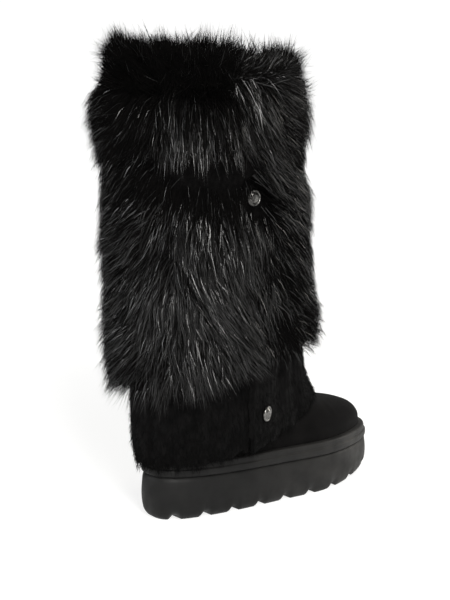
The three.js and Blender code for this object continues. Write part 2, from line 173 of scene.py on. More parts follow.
# The floor glows a little more away from the boot: metres from it at two places, and the glow there.
GLOW_NEAR, GLOW_FAR = (0.3, 0.76), (1.5, 0.99)
floor = put_mesh("floor", FLOOR_HALF * np.array(FLOOR_CORNERS), [[0, 1, 2, 3]])
floor_paint, floor_tree, floor_shader = new_material("floor_paint", FLOOR_GREY, FLOOR_FINISH)
floor_place = floor_tree.nodes.new("ShaderNodeTexCoord")
floor_reach = floor_tree.nodes.new("ShaderNodeVectorMath")
floor_reach.operation = "LENGTH"
floor_tree.links.new(floor_place.outputs["Object"], floor_reach.inputs[0])
floor_glow = ranged(floor_tree, floor_reach.outputs["Value"], GLOW_NEAR, GLOW_FAR)
floor_tree.links.new(floor_glow, floor_shader["Emission Strength"])
floor.data.materials.append(floor_paint)

# Outsole
# A moulded platform unit of black rubber. Its side bulges a little from a rounded lower edge up to the groove
# under the foxing, and grooves across the tread leave the lugs. The back of the heel is plain.
SOLE_LENGTH = 0.280
BALL_WIDTH = 0.104
HEEL_X = -0.060
TOE_SPRING = 0.010
SPRING_START = 0.62
END_SQUARENESS = 2.5
SOLE_PLAN = {
    "share": (0.0, 0.2, 0.45, 0.7, 1.0),
    "outer": (0.41, 0.42, 0.46, 0.53, 0.50),
    "inner": (0.37, 0.38, 0.37, 0.46, 0.47),
    "middle": (0.0, 0.0, 0.0, 0.0, 0.03),
    "top": (0.0440, 0.0415, 0.0395, 0.0375, 0.0355),
}
# How far the side stands out at shares of its height. Its lower edge is rounder at the heel than at the toe.
OUTSOLE_SIDE = {
    "height": (0.0, 0.07, 0.2, 0.5, 0.8, 0.95, 1.0),
    "heel_out": (-0.0080, -0.0038, -0.0006, 0.0010, 0.0003, -0.0006, -0.0024),
    "toe_out": (-0.0026, -0.0008, 0.0005, 0.0010, 0.0003, -0.0006, -0.0024),
}
LUG_GROOVES = -0.0457 + 0.03052 * np.arange(8)
GROOVE_MOUTH = 0.0070
GROOVE_ROOF = 0.0010
GROOVE_DEPTH = 0.0048
TOE_NOTCH_ANGLE = np.radians(32.14)
TOE_NOTCH_REACH = 0.016
# Where the mesh has its rows and columns: over the grooves' sides, up the side and across the tread.
GROOVE_EDGES = GROOVE_MOUTH * np.array([-1, -0.85, -0.7, -0.55, -0.4, 0.4, 0.55, 0.7, 0.85, 1])
SIDE_HEIGHTS = np.array([0.0, 0.012, 0.03, 0.05, 0.07, 0.1, 0.14, 0.2, 0.3, 0.4, 0.5, 0.6, 0.7, 0.8, 0.88,
                         0.95, 0.98, 1.0])
LINE_SHARES = np.array([0.04, 0.1, 0.15, 0.19, 0.22, 0.35, 0.5, 0.65, 0.78, 0.81, 0.85, 0.9, 0.96])
MIDDLE_LINE = np.array([0.5])
HALF_STEPS = 181
CLOSEST_ANGLES = 0.002
PLAN_STEP = 0.03
NOTCH_STEP = 0.02
OUTSOLE_CRISP = 40.0
# The rubber's cloudy bloom, uneven gloss and mould grain. Painted light and shade make it darker at the heel
# and lighter towards the toe: two places along the sole, each with the share of its colour there.
RUBBER_BLOOM = (38.0, 5.0, (0.0045, 0.0044, 0.0043), (0.0095, 0.0092, 0.0086))
RUBBER_GLOSS = (70.0, 3.0, (0.52, 0.52, 0.52), (0.72, 0.72, 0.72))
RUBBER_GRAIN = ((160.0, 2.0, 0.12, 0.0006), (1900.0, 2.0, 0.3, 0.00025))
RUBBER_PAINTED_LIGHT = ((0.02, 0.45), (0.20, 3.0))
RUBBER_FINISH = {"Specular IOR Level": 0.2}


def column(table, by, name, at):
    """One column of a table read as a smooth curve over another: cubic pieces between the rows, with the
    slope at each row taken between its neighbours."""
    knots, values = np.array(table[by]), np.array(table[name])
    rows = np.arange(len(knots))
    before, after = np.maximum(rows - 1, 0), np.minimum(rows + 1, rows[-1])
    slopes = (values[after] - values[before]) / (knots[after] - knots[before])
    i = np.clip(np.searchsorted(knots, at, side="right") - 1, 0, len(knots) - 2)
    step = knots[i + 1] - knots[i]
    t = np.clip((at - knots[i]) / step, 0.0, 1.0)
    start = values[i] * (1 + 2 * t) + slopes[i] * step * t
    end = values[i + 1] * (3 - 2 * t) - slopes[i + 1] * step * (1 - t)
    return start * (1 - t) ** 2 + end * t ** 2


def between(low, high, share):
    """The value at a share of the way from low to high."""
    return low + (high - low) * share


def eased(share):
    """A share from 0 to 1 that starts and ends gently: 3 times its square less 2 times its cube."""
    return share * share * (3 - 2 * share)


def share_ahead(angle):
    """Share of the way from the back to the front of a ring at an angle from the toe: (1 + cos) / 2."""
    return (1 + np.cos(angle)) / 2


def plan_of_sole(angle):
    """The sole's plan at angles from the toe over the inner side. x runs with the share ahead along the
    length, y is the half width times a rounded end, plus the middle line."""
    share = share_ahead(angle)
    half = np.where(np.sin(angle) >= 0, column(SOLE_PLAN, "share", "inner", share),
                    -column(SOLE_PLAN, "share", "outer", share))
    rounded = np.maximum(1 - np.abs(np.cos(angle)) ** END_SQUARENESS, 0.0) ** (1 / END_SQUARENESS)
    across = BALL_WIDTH * (half * rounded + column(SOLE_PLAN, "share", "middle", share))
    return np.stack([HEEL_X + SOLE_LENGTH * share, across], axis=-1)


def outline_of_sole(angle, out):
    """The sole's plan moved out along its own normal, which is square to the step between two near angles."""
    angle, out = np.broadcast_arrays(angle, out)
    along = unit(plan_of_sole(angle + PLAN_STEP) - plan_of_sole(angle - PLAN_STEP))
    return plan_of_sole(angle) + np.stack([along[..., 1], -along[..., 0]], axis=-1) * out[..., None]


def tread_height(x):
    """Height of the tread over the floor: nothing up to the ball, then a square curve to the toe spring."""
    start = HEEL_X + SOLE_LENGTH * SPRING_START
    return TOE_SPRING * np.clip((x - start) / (HEEL_X + SOLE_LENGTH - start), 0.0, 1.0) ** 2


def sole_top(x):
    """Height of the groove between outsole and foxing."""
    return column(SOLE_PLAN, "share", "top", np.clip((x - HEEL_X) / SOLE_LENGTH, 0.0, 1.0))


def groove_share(angle, inside):
    """How deep a place of the tread lies in a groove, from 0 on the lugs to 1 at the groove's roof. Lug
    grooves run straight across, and the toe's notches stop at a reach inside the edge."""
    plan = plan_of_sole(angle)
    off = np.abs(plan[:, :1] - LUG_GROOVES).min(axis=1)
    turn = np.abs(np.minimum(angle, 2 * np.pi - angle) - TOE_NOTCH_ANGLE)
    arc = turn * np.linalg.norm(plan_of_sole(angle + NOTCH_STEP) - plan, axis=1) / NOTCH_STEP
    straight, notch = np.clip((GROOVE_MOUTH - np.array([off, arc])) / (GROOVE_MOUTH - GROOVE_ROOF), 0.0, 1.0)
    return eased(np.maximum(straight, notch * (inside <= TOE_NOTCH_REACH)))


edge_x = np.add.outer(GROOVE_EDGES, LUG_GROOVES).ravel()
edge_angles = np.arccos(2 * (edge_x - HEEL_X) / SOLE_LENGTH - 1)
half_angles = np.sort(np.concatenate([np.linspace(0.0, np.pi, HALF_STEPS), edge_angles]))
half_angles = half_angles[np.insert(np.diff(half_angles) > CLOSEST_ANGLES, 0, True)]
half_count = len(half_angles) - 1
sole_angles = np.concatenate([half_angles, 2 * np.pi - half_angles[-2:0:-1]])


def grid_faces(index):
    """Quads between the rows and columns of a grid of point numbers, and triangles where two corners meet."""
    quads = np.stack([index[:-1, :-1], index[:-1, 1:], index[1:, 1:], index[1:, :-1]], axis=-1).reshape(-1, 4)
    first, last = quads[:, 0] == quads[:, 1], quads[:, 2] == quads[:, 3]
    triangles = np.concatenate([quads[first & ~last][:, [0, 2, 3]], quads[last & ~first][:, [0, 1, 2]]])
    return quads[~(first | last)], triangles


def ring_index(rows, columns):
    """Point numbers of rows of closed rings, with the first column repeated at the end."""
    index = np.arange(rows * columns).reshape(rows, columns)
    return np.hstack([index, index[:, :1]])


def lines_across(ring, shares):
    """Straight lines of points from the inner to the outer side of a ring, without the ring's own points."""
    inner, outer = ring[1:half_count], ring[:half_count:-1]
    return inner[:, None] + (outer - inner)[:, None] * shares[:, None]


def across_index(first, start, lines):
    """Point numbers of lines across a ring. The ring's points are numbered from first and the lines' own from
    start, and both ends of the ring are single points."""
    inner = first + np.arange(half_count + 1)
    outer = first + (-np.arange(half_count + 1)) % (2 * half_count)
    body = start + np.arange(lines[..., 0].size).reshape(lines.shape[:2])
    ends = np.full((2, 1, lines.shape[1]), inner[[0, -1], None, None])
    return np.column_stack([inner, np.vstack([ends[0], body, ends[1]]), outer])


def put_capped(name, side, bottom, lid):
    """A closed piece of rings up its side, with lines of points across its first and its last ring."""
    rows, columns = side.shape[:2]
    points = [part.reshape(-1, 3) for part in (side, bottom, lid)]
    faces = (
        grid_faces(ring_index(rows, columns)),
        grid_faces(across_index(0, len(points[0]), bottom)),
        grid_faces(across_index((rows - 1) * columns, len(points[0]) + len(points[1]), lid)[:, ::-1]),
    )
    return put_mesh(name, np.concatenate(points), *(np.concatenate(kind) for kind in zip(*faces)))


heel_out = column(OUTSOLE_SIDE, "height", "heel_out", SIDE_HEIGHTS)[:, None]
toe_out = column(OUTSOLE_SIDE, "height", "toe_out", SIDE_HEIGHTS)[:, None]
side_plan = outline_of_sole(sole_angles, between(heel_out, toe_out, share_ahead(sole_angles)))
side_bottom = tread_height(side_plan[..., 0]) + GROOVE_DEPTH * groove_share(sole_angles, 0.0)
side_z = between(side_bottom, sole_top(side_plan[..., 0]), SIDE_HEIGHTS[:, None])
outsole_side = np.dstack([side_plan, side_z])
tread = lines_across(outsole_side[0], LINE_SHARES)
tread_width = np.linalg.norm(outsole_side[0][1:half_count] - outsole_side[0][:half_count:-1], axis=1)
tread_inside = tread_width[:, None] * np.minimum(LINE_SHARES, 1 - LINE_SHARES)
tread_deep = np.stack([groove_share(half_angles[1:half_count], inside) for inside in tread_inside.T], axis=1)
tread[..., 2] = tread_height(tread[..., 0]) + GROOVE_DEPTH * tread_deep
outsole = put_capped("outsole_moulded", outsole_side, tread, lines_across(outsole_side[-1], MIDDLE_LINE))


def edge_kept(piece, degrees):
    """Keeps the edges of a smooth piece crisp where they are sharper than an angle."""
    piece.data.set_sharp_from_angle(angle=np.radians(degrees))


def noise(tree, scale, detail):
    """Noise in Object coordinates, with scale in waves a metre."""
    place = tree.nodes.new("ShaderNodeTexCoord")
    node = tree.nodes.new("ShaderNodeTexNoise")
    node.inputs["Scale"].default_value = scale
    node.inputs["Detail"].default_value = detail
    tree.links.new(place.outputs["Object"], node.inputs["Vector"])
    return node.outputs["Fac"]


def ramp(tree, value, stops, colours):
    """A value run between two colours that stand at two stops."""
    node = tree.nodes.new("ShaderNodeValToRGB")
    for element, stop, colour in zip(node.color_ramp.elements, stops, colours):
        element.position = stop
        element.color = (*colour, 1.0)
    tree.links.new(value, node.inputs["Fac"])
    return node.outputs["Color"]


def mottle(tree, scale, detail, dark, light, stops=(0.35, 0.65)):
    """Noise run between two colours."""
    return ramp(tree, noise(tree, scale, detail), stops, (dark, light))


def textured(name, patches, bumps, finish, gloss=None, fade=None):
    """A material of noise. patches gives its colour and gloss its roughness: waves a metre, detail, two
    colours and their stops. bumps lie on each other: waves a metre, detail, strength and height in metres.
    finish gives other sockets' values, and fade is painted light and shade along the boot: two places
    along it with the share of the colour there."""
    material, tree, shader = new_material(name, patches[3], finish)
    colour = mottle(tree, *patches)
    # Painted light and shade: the colour is scaled along the boot.
    if fade is not None:
        shade = tree.nodes.new("ShaderNodeVectorMath")
        shade.operation = "SCALE"
        tree.links.new(colour, shade.inputs[0])
        tree.links.new(ranged(tree, coordinate(tree, "Object", "X"), *fade), shade.inputs["Scale"])
        colour = shade.outputs["Vector"]
    tree.links.new(colour, shader["Base Color"])
    if gloss is not None:
        tree.links.new(mottle(tree, *gloss), shader["Roughness"])
    below = None
    for scale, detail, strength, height in bumps:
        bump = tree.nodes.new("ShaderNodeBump")
        bump.inputs["Strength"].default_value = strength
        bump.inputs["Distance"].default_value = height
        tree.links.new(noise(tree, scale, detail), bump.inputs["Height"])
        if below is not None:
            tree.links.new(below, bump.inputs["Normal"])
        below = bump.outputs["Normal"]
    tree.links.new(below, shader["Normal"])
    return material


rubber = textured("moulded_rubber", RUBBER_BLOOM, RUBBER_GRAIN, RUBBER_FINISH, RUBBER_GLOSS, RUBBER_PAINTED_LIGHT)
edge_kept(outsole, OUTSOLE_CRISP)
outsole.data.materials.append(rubber)
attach(outsole, "root")
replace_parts(outsole, "outsole")

# Foxing
# A rubber band cemented round the foot on top of the outsole. A rounded rib runs along its lower half, and
# the upper half is a strip set back behind it.
FOXING_HEIGHT = 0.014
CLEARANCE = 0.0003
UPPER_INSET = 0.007
FOXING_SIDE = {
    "height": (0.0, 0.05, 0.12, 0.3, 0.47, 0.54, 0.57, 0.62, 0.75, 0.88, 0.96, 1.0),
    "out": (-0.0018, -0.0004, 0.0005, 0.0009, 0.0007, 0.0001, -0.0007, -0.0009, -0.0009, -0.0012, -0.0019,
            -0.0030),
}
FOXING_ROWS = 30
RING_COLUMNS = 360
FOXING_CRISP = 55.0


def put_tube(name, rings):
    """A hollow piece of closed rings, up its outer side and down its inner one, with the last joined to the
    first."""
    index = ring_index(*rings.shape[:2])
    return put_mesh(name, rings.reshape(-1, 3), *grid_faces(np.vstack([index, index[:1]])))


foxing_heights = np.concatenate([np.linspace(0.0, 1.0, FOXING_ROWS), [1.0, 0.0]])
foxing_out = column(FOXING_SIDE, "height", "out", foxing_heights[:FOXING_ROWS])
foxing_out = np.append(foxing_out, 2 * [CLEARANCE - UPPER_INSET])
ring_angles = np.linspace(0.0, 2 * np.pi, RING_COLUMNS, endpoint=False)
foxing_plan = outline_of_sole(ring_angles, foxing_out[:, None])
foxing_z = sole_top(foxing_plan[..., 0]) + CLEARANCE + (FOXING_HEIGHT - CLEARANCE) * foxing_heights[:, None]
foxing = put_tube("foxing_band", np.dstack([foxing_plan, foxing_z]))
edge_kept(foxing, FOXING_CRISP)
foxing.data.materials.append(rubber)
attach(foxing, "root")
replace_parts(foxing, "foxing")

# Insole
# A flat footbed of foam covered in black knitted cloth, cut to the last and dropped into the upper. It only
# shows from above, down the shaft.
UPPER_WALL = 0.0022
INSOLE_THICKNESS = 0.005
INSOLE_HEIGHTS = np.array([0.0, 0.5, 0.7, 0.82, 0.92, 1.0])
INSOLE_ROUNDING = np.array([0.0, 0.0, 0.0, 0.0003, 0.0008, 0.0018])
CLOTH_WEAR = (45.0, 4.0, (0.016, 0.016, 0.016), (0.030, 0.029, 0.028))
CLOTH_WEAVE = ((1500.0, 1.0, 0.5, 0.0004),)
CLOTH_FINISH = {"Roughness": 0.95, "Specular IOR Level": 0.15}
insole_out = -UPPER_INSET - UPPER_WALL - CLEARANCE - INSOLE_ROUNDING
insole_plan = outline_of_sole(sole_angles, insole_out[:, None])
insole_z = sole_top(insole_plan[..., 0]) + CLEARANCE + INSOLE_THICKNESS * INSOLE_HEIGHTS[:, None]
insole_side = np.dstack([insole_plan, insole_z])
insole = put_capped("insole_footbed", insole_side, lines_across(insole_side[0], MIDDLE_LINE),
                    lines_across(insole_side[-1], LINE_SHARES))
lining_cloth = textured("footbed_cloth", CLOTH_WEAR, CLOTH_WEAVE, CLOTH_FINISH)
insole.data.materials.append(lining_cloth)
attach(insole, "root")
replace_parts(insole, "insole")

# Upper
# The foot of the boot: one hollow shape of black suede, lasted round a full toe and closed over the instep.
# Its feather edge is tucked behind the foxing, and its collar is hidden inside the cuff.
LEG_X = 0.015
UPPER_SECTIONS = {
    "level": (0.0, 0.12, 0.24, 0.36, 0.5, 0.64, 0.76, 0.88, 1.0),
    "back": (-0.068, -0.068, -0.069, -0.068, -0.066, -0.065, -0.066, -0.070, -0.076),
    "back_z": (0.044, 0.058, 0.070, 0.082, 0.095, 0.110, 0.126, 0.145, 0.166),
    "front": (0.198, 0.198, 0.196, 0.184, 0.158, 0.126, 0.100, 0.092, 0.099),
    "front_z": (0.036, 0.049, 0.061, 0.072, 0.081, 0.089, 0.106, 0.138, 0.168),
    "width": (1.0, 1.0, 1.0, 0.94, 0.86, 0.80, 0.80, 0.80, 0.80),
    "oval": (0.0, 0.0, 0.0, 0.05, 0.25, 0.60, 1.0, 1.0, 1.0),
    "side": (0.045, 0.045, 0.044, 0.041, 0.038, 0.038, 0.042, 0.054, 0.063),
}
UPPER_ROWS = 84
UPPER_TURN = 0.0087
UPPER_INSIDE_STEP = 3
# The vamp starts at one height and is full a second height further up. Flex creases cross it: place along the
# foot, width and depth, all in metres. They wander by metres, in waves a metre across and along the foot.
VAMP_FROM, VAMP_FULL = 0.058, 0.020
VAMP_CREASES = ((0.139, 0.0050, 0.0004), (0.152, 0.0055, 0.0004), (0.168, 0.0075, 0.0003))
CREASE_WANDER, WANDER_ACROSS, WANDER_ALONG = 0.004, 60, 90
# The vamp also swells softly: waves along the foot times waves across it.
SWELL_ALONG, SWELL_ACROSS = (0.0005, 38, 5), (1.0, 52, 1)
SUEDE_PATCHES = (55.0, 6.0, (0.0016, 0.0015, 0.0015), (0.0041, 0.0038, 0.0037), (0.3, 0.72))
SUEDE_NAP = ((260.0, 4.0, 0.25, 0.0008), (2300.0, 3.0, 0.6, 0.0005))
SUEDE_FINISH = {"Roughness": 0.95, "Specular IOR Level": 0.04, "Sheen Weight": 0.02, "Sheen Roughness": 0.5}


def sections(table, by, at):
    """The other columns of a table at places of one of them."""
    return {name: column(table, by, name, at) for name in table if name != by}


def upper_surface(angle, level):
    """A ring of the upper: the sole's outline drawn in and narrowed, which turns into an ellipse towards the
    collar, leaning from its back point to its front point."""
    outline = outline_of_sole(angle, -UPPER_INSET)
    at = sections(UPPER_SECTIONS, "level", level)
    foot_share = np.clip((outline[..., 0] - HEEL_X - UPPER_INSET) / (SOLE_LENGTH - 2 * UPPER_INSET), 0.0, 1.0)
    share = between(foot_share, share_ahead(angle), at["oval"])
    x = LEG_X + between(at["back"], at["front"], share)
    y = between(outline[..., 1] * at["width"], np.sin(angle) * at["side"], at["oval"])
    z = between(at["back_z"], at["front_z"], share)
    return np.stack([x, y, np.where(level == 0.0, sole_top(x) + CLEARANCE, z)], axis=-1)


def ring_normals(points):
    """Outward normals of a grid of rings: the step round the ring crossed with the step up to the next."""
    turn = np.roll(points, -1, axis=1) - np.roll(points, 1, axis=1)
    return unit(np.cross(turn, np.gradient(points, axis=0)))


def hump(at, place, power=2):
    """A soft hump, 1 at its place, which is a middle and a half width: e to the power of minus the distance
    from the middle over the half width, itself raised to a power."""
    middle, half_width = place
    return np.exp(-((at - middle) / half_width) ** power)


def waves(at, *terms):
    """A sum of sine waves, each with its height, its rate and its start."""
    return sum(height * np.sin(rate * at + start) for height, rate, start in terms)


upper_angle, upper_level = np.meshgrid(ring_angles[::2] + UPPER_TURN, np.linspace(0.0, 1.0, UPPER_ROWS))
upper_outer = upper_surface(upper_angle, upper_level)
upper_out = ring_normals(upper_outer)
upper_x, upper_y, upper_z = np.moveaxis(upper_outer, -1, 0)
vamp = np.clip((upper_z - VAMP_FROM) / VAMP_FULL, 0.0, 1.0)
vamp_relief = waves(upper_x, SWELL_ALONG) * waves(upper_y, SWELL_ACROSS)
for at, width, depth in VAMP_CREASES:
    wander = waves(upper_y, (CREASE_WANDER, WANDER_ACROSS, WANDER_ALONG * at))
    vamp_relief = vamp_relief - depth * hump(upper_x + wander, (at, width))
upper_outer = upper_outer + upper_out * (vamp * vamp_relief)[..., None]
upper_inner = upper_outer - UPPER_WALL * upper_out
upper_inner[0, :, 2] = sole_top(upper_inner[0, :, 0]) + CLEARANCE
upper = put_tube("upper_suede", np.concatenate([upper_outer, upper_inner[::-UPPER_INSIDE_STEP]]))
upper.data.materials.append(textured("black_suede", SUEDE_PATCHES, SUEDE_NAP, SUEDE_FINISH))
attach(upper, "root")
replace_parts(upper, "upper")

# Cuff
# The shaft's lower end: a band of ribbed plush that hangs over the ankle, brushed to a short pile. The wrap
# closing's front edge laps over it on the outer side, and its hem lies on the vamp and on the foxing.
CUFF_SECTIONS = {
    "level": (0.0, 0.25, 0.6, 1.0),
    "back": (-0.081, -0.085, -0.084, -0.081),
    "back_z": (0.055, 0.076, 0.112, 0.168),
    "front": (0.132, 0.122, 0.109, 0.104),
    "front_z": (0.095, 0.108, 0.134, 0.170),
    "outer": (0.051, 0.057, 0.063, 0.067),
    "inner": (0.050, 0.055, 0.062, 0.067),
    "sweep": (1.9, 1.6, 1.3, 1.0),
}
CUFF_WALL = 0.003
CUFF_ROWS = 36
CUFF_COLUMNS = 528
CUFF_INSIDE_STEP = 4
CUFF_GIRTH_LEVEL = 0.5
CUFF_GIRTH_STEPS = 2001
CLOSING_ANGLE = np.radians(261.0)
CLOSING_PROUD = 0.007
CLOSING_FADE = np.radians(30.0)
# The ribs wander by a share of a rib in waves up the cuff, each rib with its own start. Their crests are
# full, and their middle height is a share of the depth.
CUFF_RIBS = 88
CUFF_RIB_DEPTH = 0.00045
RIB_WANDER, RIB_WAVES, RIB_OWN_START = 0.045, 9, 0.7
RIB_FULLNESS = 0.7
RIB_MIDDLE = 0.6
# Soft upright folds: angle round the leg in degrees, half width in degrees and depth in metres. They fade at
# the top and below a level.
CUFF_FOLDS = ((194.0, 3.0, -0.0025), (203.0, 5.0, 0.0015), (283.0, 4.0, -0.0018), (292.0, 4.5, 0.0020),
              (301.0, 4.0, -0.0020), (312.0, 5.0, 0.0018), (40.0, 6.0, -0.0020), (110.0, 7.0, 0.0016),
              (150.0, 5.0, -0.0018))
FOLDS_FROM = 0.15
# The hem is uneven: height of its steps at the ribs, its waves round the leg, and how fast both fade upwards.
HEM_STEP = 0.0016
HEM_WAVES = ((0.0012, 23, 0), (0.0010, 41, 1))
HEM_FADE = 6
PLUSH_WEAR = (90.0, 5.0, (0.0016, 0.0016, 0.0016), (0.0044, 0.0042, 0.0042))
PLUSH_FUZZ = ((1300.0, 4.0, 0.8, 0.0009),)
PLUSH_FINISH = {"Roughness": 1.0, "Specular IOR Level": 0.05, "Sheen Weight": 0.01}


def cuff_surface(angle, level):
    """The cuff without its ribs: leaning ellipses whose hem sweeps up over the instep, with the closing's
    edge standing proud and fading forward."""
    at = sections(CUFF_SECTIONS, "level", level)
    share = share_ahead(angle)
    ahead = np.mod(angle - CLOSING_ANGLE, 2 * np.pi)
    lap = CLOSING_PROUD * np.maximum(0.0, 1 - ahead / CLOSING_FADE)
    half = np.where(np.sin(angle) >= 0, at["inner"], at["outer"] + lap)
    x = LEG_X + between(at["back"], at["front"], share)
    z = between(at["back_z"], at["front_z"], share ** at["sweep"])
    return np.stack([x, half * np.sin(angle), z], axis=-1)


def angles_along(ring, angles, shares):
    """Angles at shares of a ring's length, which is summed over its points at close angles."""
    run = np.insert(np.cumsum(np.linalg.norm(np.diff(ring, axis=0), axis=1)), 0, 0.0)
    return np.interp(shares * run[-1], run, angles)


cuff_fine = np.linspace(0.0, 2 * np.pi, CUFF_GIRTH_STEPS) + CLOSING_ANGLE
cuff_girth = cuff_surface(cuff_fine, np.full_like(cuff_fine, CUFF_GIRTH_LEVEL))
cuff_round = angles_along(cuff_girth, cuff_fine, np.linspace(0.0, 1.0, CUFF_COLUMNS, endpoint=False))
cuff_angle, cuff_level = np.meshgrid(cuff_round, np.linspace(0.0, 1.0, CUFF_ROWS))
cuff_outer = cuff_surface(cuff_angle, cuff_level)
cuff_out = ring_normals(cuff_outer)
rib_turn = np.broadcast_to(np.arange(CUFF_COLUMNS) * CUFF_RIBS / CUFF_COLUMNS, cuff_angle.shape)
rib_wander = waves(cuff_level, (RIB_WANDER, RIB_WAVES, RIB_OWN_START * np.floor(rib_turn)))
ribs = np.abs(np.sin(np.pi * (rib_turn + rib_wander))) ** RIB_FULLNESS - RIB_MIDDLE
cuff_degrees = np.mod(np.degrees(cuff_angle), 360.0)
folds = sum(depth * hump((cuff_degrees - at + 180) % 360, (180, width)) for at, width, depth in CUFF_FOLDS)
folds = folds * np.sin(np.pi * np.clip(cuff_level, FOLDS_FROM, 1.0))
cuff_outer = cuff_outer + cuff_out * (CUFF_RIB_DEPTH * ribs + folds)[..., None]
cuff_outer[..., 2] += (1 - cuff_level) ** HEM_FADE * (HEM_STEP * ribs + waves(cuff_angle, *HEM_WAVES))
cuff_inner = cuff_outer - CUFF_WALL * cuff_out
cuff = put_tube("cuff_ribbed", np.concatenate([cuff_outer, cuff_inner[::-CUFF_INSIDE_STEP]]))
cuff.data.materials.append(textured("brushed_plush", PLUSH_WEAR, PLUSH_FUZZ, PLUSH_FINISH))
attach(cuff, "root")
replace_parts(cuff, "cuff")

# Pile of the cuff
# Short hairs brushed up from the cuff's plush, as narrow flat strips rooted in its ribs. They lie down along
# the ribs and stand past the hem as a soft fringe, which is longest at the heel.
PILE_HAIRS = 15000
PILE_LEVELS = (0.9, 1.1)
PILE_LENGTH = 0.0085
PILE_LENGTHS = (0.5, 1.2)
PILE_AT_HEEL, PILE_HEEL_FADE = 0.5, 3
PILE_WIDTH = 0.00045
PILE_WIDTHS = (0.7, 1.3)
PILE_STEPS = np.array([0.0, 0.5, 1.0])
PILE_TAPER = np.array([0.8, 0.9, 0.0])
PILE_LEAN = 0.5
PILE_LIFT = (0.42, 0.2)
PILE_DROOP = 0.3
PILE_SINK = 0.0005
PILE_TWIST = 0.3
PILE_ROOT, PILE_TIP = (0.0012, 0.0012, 0.0012), (0.0046, 0.0043, 0.0041)
PILE_FINISH = {"Roughness": 0.9, "Specular IOR Level": 0.05}
chance = np.random.default_rng(11)


def hair_strips(paths, facing, width, taper):
    """Hairs as narrow flat strips. paths holds points from root to tip, and facing is the way a strip's flat
    side turns. The strip's half width follows taper, and the last point is the bare tip."""
    along = unit(np.gradient(paths, axis=1))
    side = unit(np.cross(along, facing[:, None]))
    half = (0.5 * width[:, None] * taper)[..., None]
    rows = np.stack([paths - half * side, paths + half * side], axis=2)[:, :-1]
    points = np.concatenate([rows.reshape(len(paths), -1, 3), paths[:, -1:]], axis=1)
    steps = paths.shape[1] - 1
    grid = 2 * np.arange(steps)[:, None] + np.arange(2)
    quads = np.stack([grid[:-1, 0], grid[:-1, 1], grid[1:, 1], grid[1:, 0]], axis=-1)
    tips = np.array([[grid[-1, 0], grid[-1, 1], 2 * steps]])
    start = (np.arange(len(paths)) * points.shape[1])[:, None, None]
    return points.reshape(-1, 3), (quads + start).reshape(-1, 4), (tips + start).reshape(-1, 3)


def put_hairs(name, paths, facing, width, taper, tone, materials, kind):
    """A piece of many hairs. Each hair's tone and the share along it are kept as attributes, and kind says
    which of the materials it has."""
    points, quads, triangles = hair_strips(paths, facing, width, taper)
    piece = put_mesh(name, points, quads, triangles)
    steps = paths.shape[1] - 1
    shares = np.append(np.repeat(np.arange(steps) / steps, 2), 1.0)
    values = {"hair_tone": np.repeat(tone, len(shares)), "hair_share": np.tile(shares, len(paths))}
    for label in values:
        attribute = piece.data.attributes.new(label, "FLOAT", "POINT")
        attribute.data.foreach_set("value", values[label].astype(np.float32))
    for material in materials:
        piece.data.materials.append(material)
    face_kind = np.concatenate([np.repeat(kind, steps - 1), kind])
    piece.data.polygons.foreach_set("material_index", face_kind.astype(np.int32))
    return piece


def hair_black(name, root, tip, finish):
    """Black hair, darker at the root and browner at the tip, each hair a little lighter or darker: the share
    along the hair times its tone, run between the two colours."""
    material, tree, shader = new_material(name, root, finish)
    blend = tree.nodes.new("ShaderNodeMath")
    blend.operation = "MULTIPLY"
    for socket, label in zip(blend.inputs, ("hair_tone", "hair_share")):
        attribute = tree.nodes.new("ShaderNodeAttribute")
        attribute.attribute_name = label
        tree.links.new(attribute.outputs["Fac"], socket)
    tree.links.new(ramp(tree, blend.outputs["Value"], (0.0, 1.0), (root, tip)), shader["Base Color"])
    return material


pile_column = chance.integers(0, CUFF_COLUMNS, PILE_HAIRS)
pile_level = chance.beta(*PILE_LEVELS, PILE_HAIRS)
pile_row = pile_level * (CUFF_ROWS - 1)
pile_low = pile_row.astype(int)
pile_high = np.minimum(pile_low + 1, CUFF_ROWS - 1)
pile_root = between(cuff_outer[pile_low, pile_column], cuff_outer[pile_high, pile_column],
                    (pile_row - pile_low)[:, None])
pile_out = cuff_out[pile_low, pile_column]
pile_turn = unit(np.cross(UP, pile_out))
pile_down = np.cross(pile_turn, pile_out)
pile_lean = chance.normal(0.0, PILE_LEAN, PILE_HAIRS)[:, None]
pile_lift = np.abs(chance.normal(*PILE_LIFT, PILE_HAIRS))[:, None]
pile_length = PILE_LENGTH * chance.uniform(*PILE_LENGTHS, PILE_HAIRS)
pile_at_heel = np.maximum(-np.cos(cuff_round[pile_column]), 0.0) * (1 - pile_level) ** PILE_HEEL_FADE
pile_length = pile_length * (1 + PILE_AT_HEEL * pile_at_heel)
pile_way = unit(pile_down * np.cos(pile_lean) + pile_turn * np.sin(pile_lean) + pile_out * pile_lift)
pile_drop = PILE_DROOP * (PILE_STEPS ** 2)[:, None] * (pile_lift * pile_out)[:, None]
pile_run = PILE_STEPS[:, None] * pile_way[:, None] - pile_drop
pile_paths = (pile_root - PILE_SINK * pile_out)[:, None] + pile_length[:, None, None] * pile_run
plush_hair = hair_black("plush_hair", PILE_ROOT, PILE_TIP, PILE_FINISH)
cuff_pile = put_hairs(
    "cuff_pile",
    pile_paths,
    pile_out + chance.normal(0.0, PILE_TWIST, (PILE_HAIRS, 3)),
    PILE_WIDTH * chance.uniform(*PILE_WIDTHS, PILE_HAIRS),
    PILE_TAPER,
    chance.uniform(0.0, 1.0, PILE_HAIRS),
    [plush_hair],
    np.zeros(PILE_HAIRS),
)
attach(cuff_pile, "root")

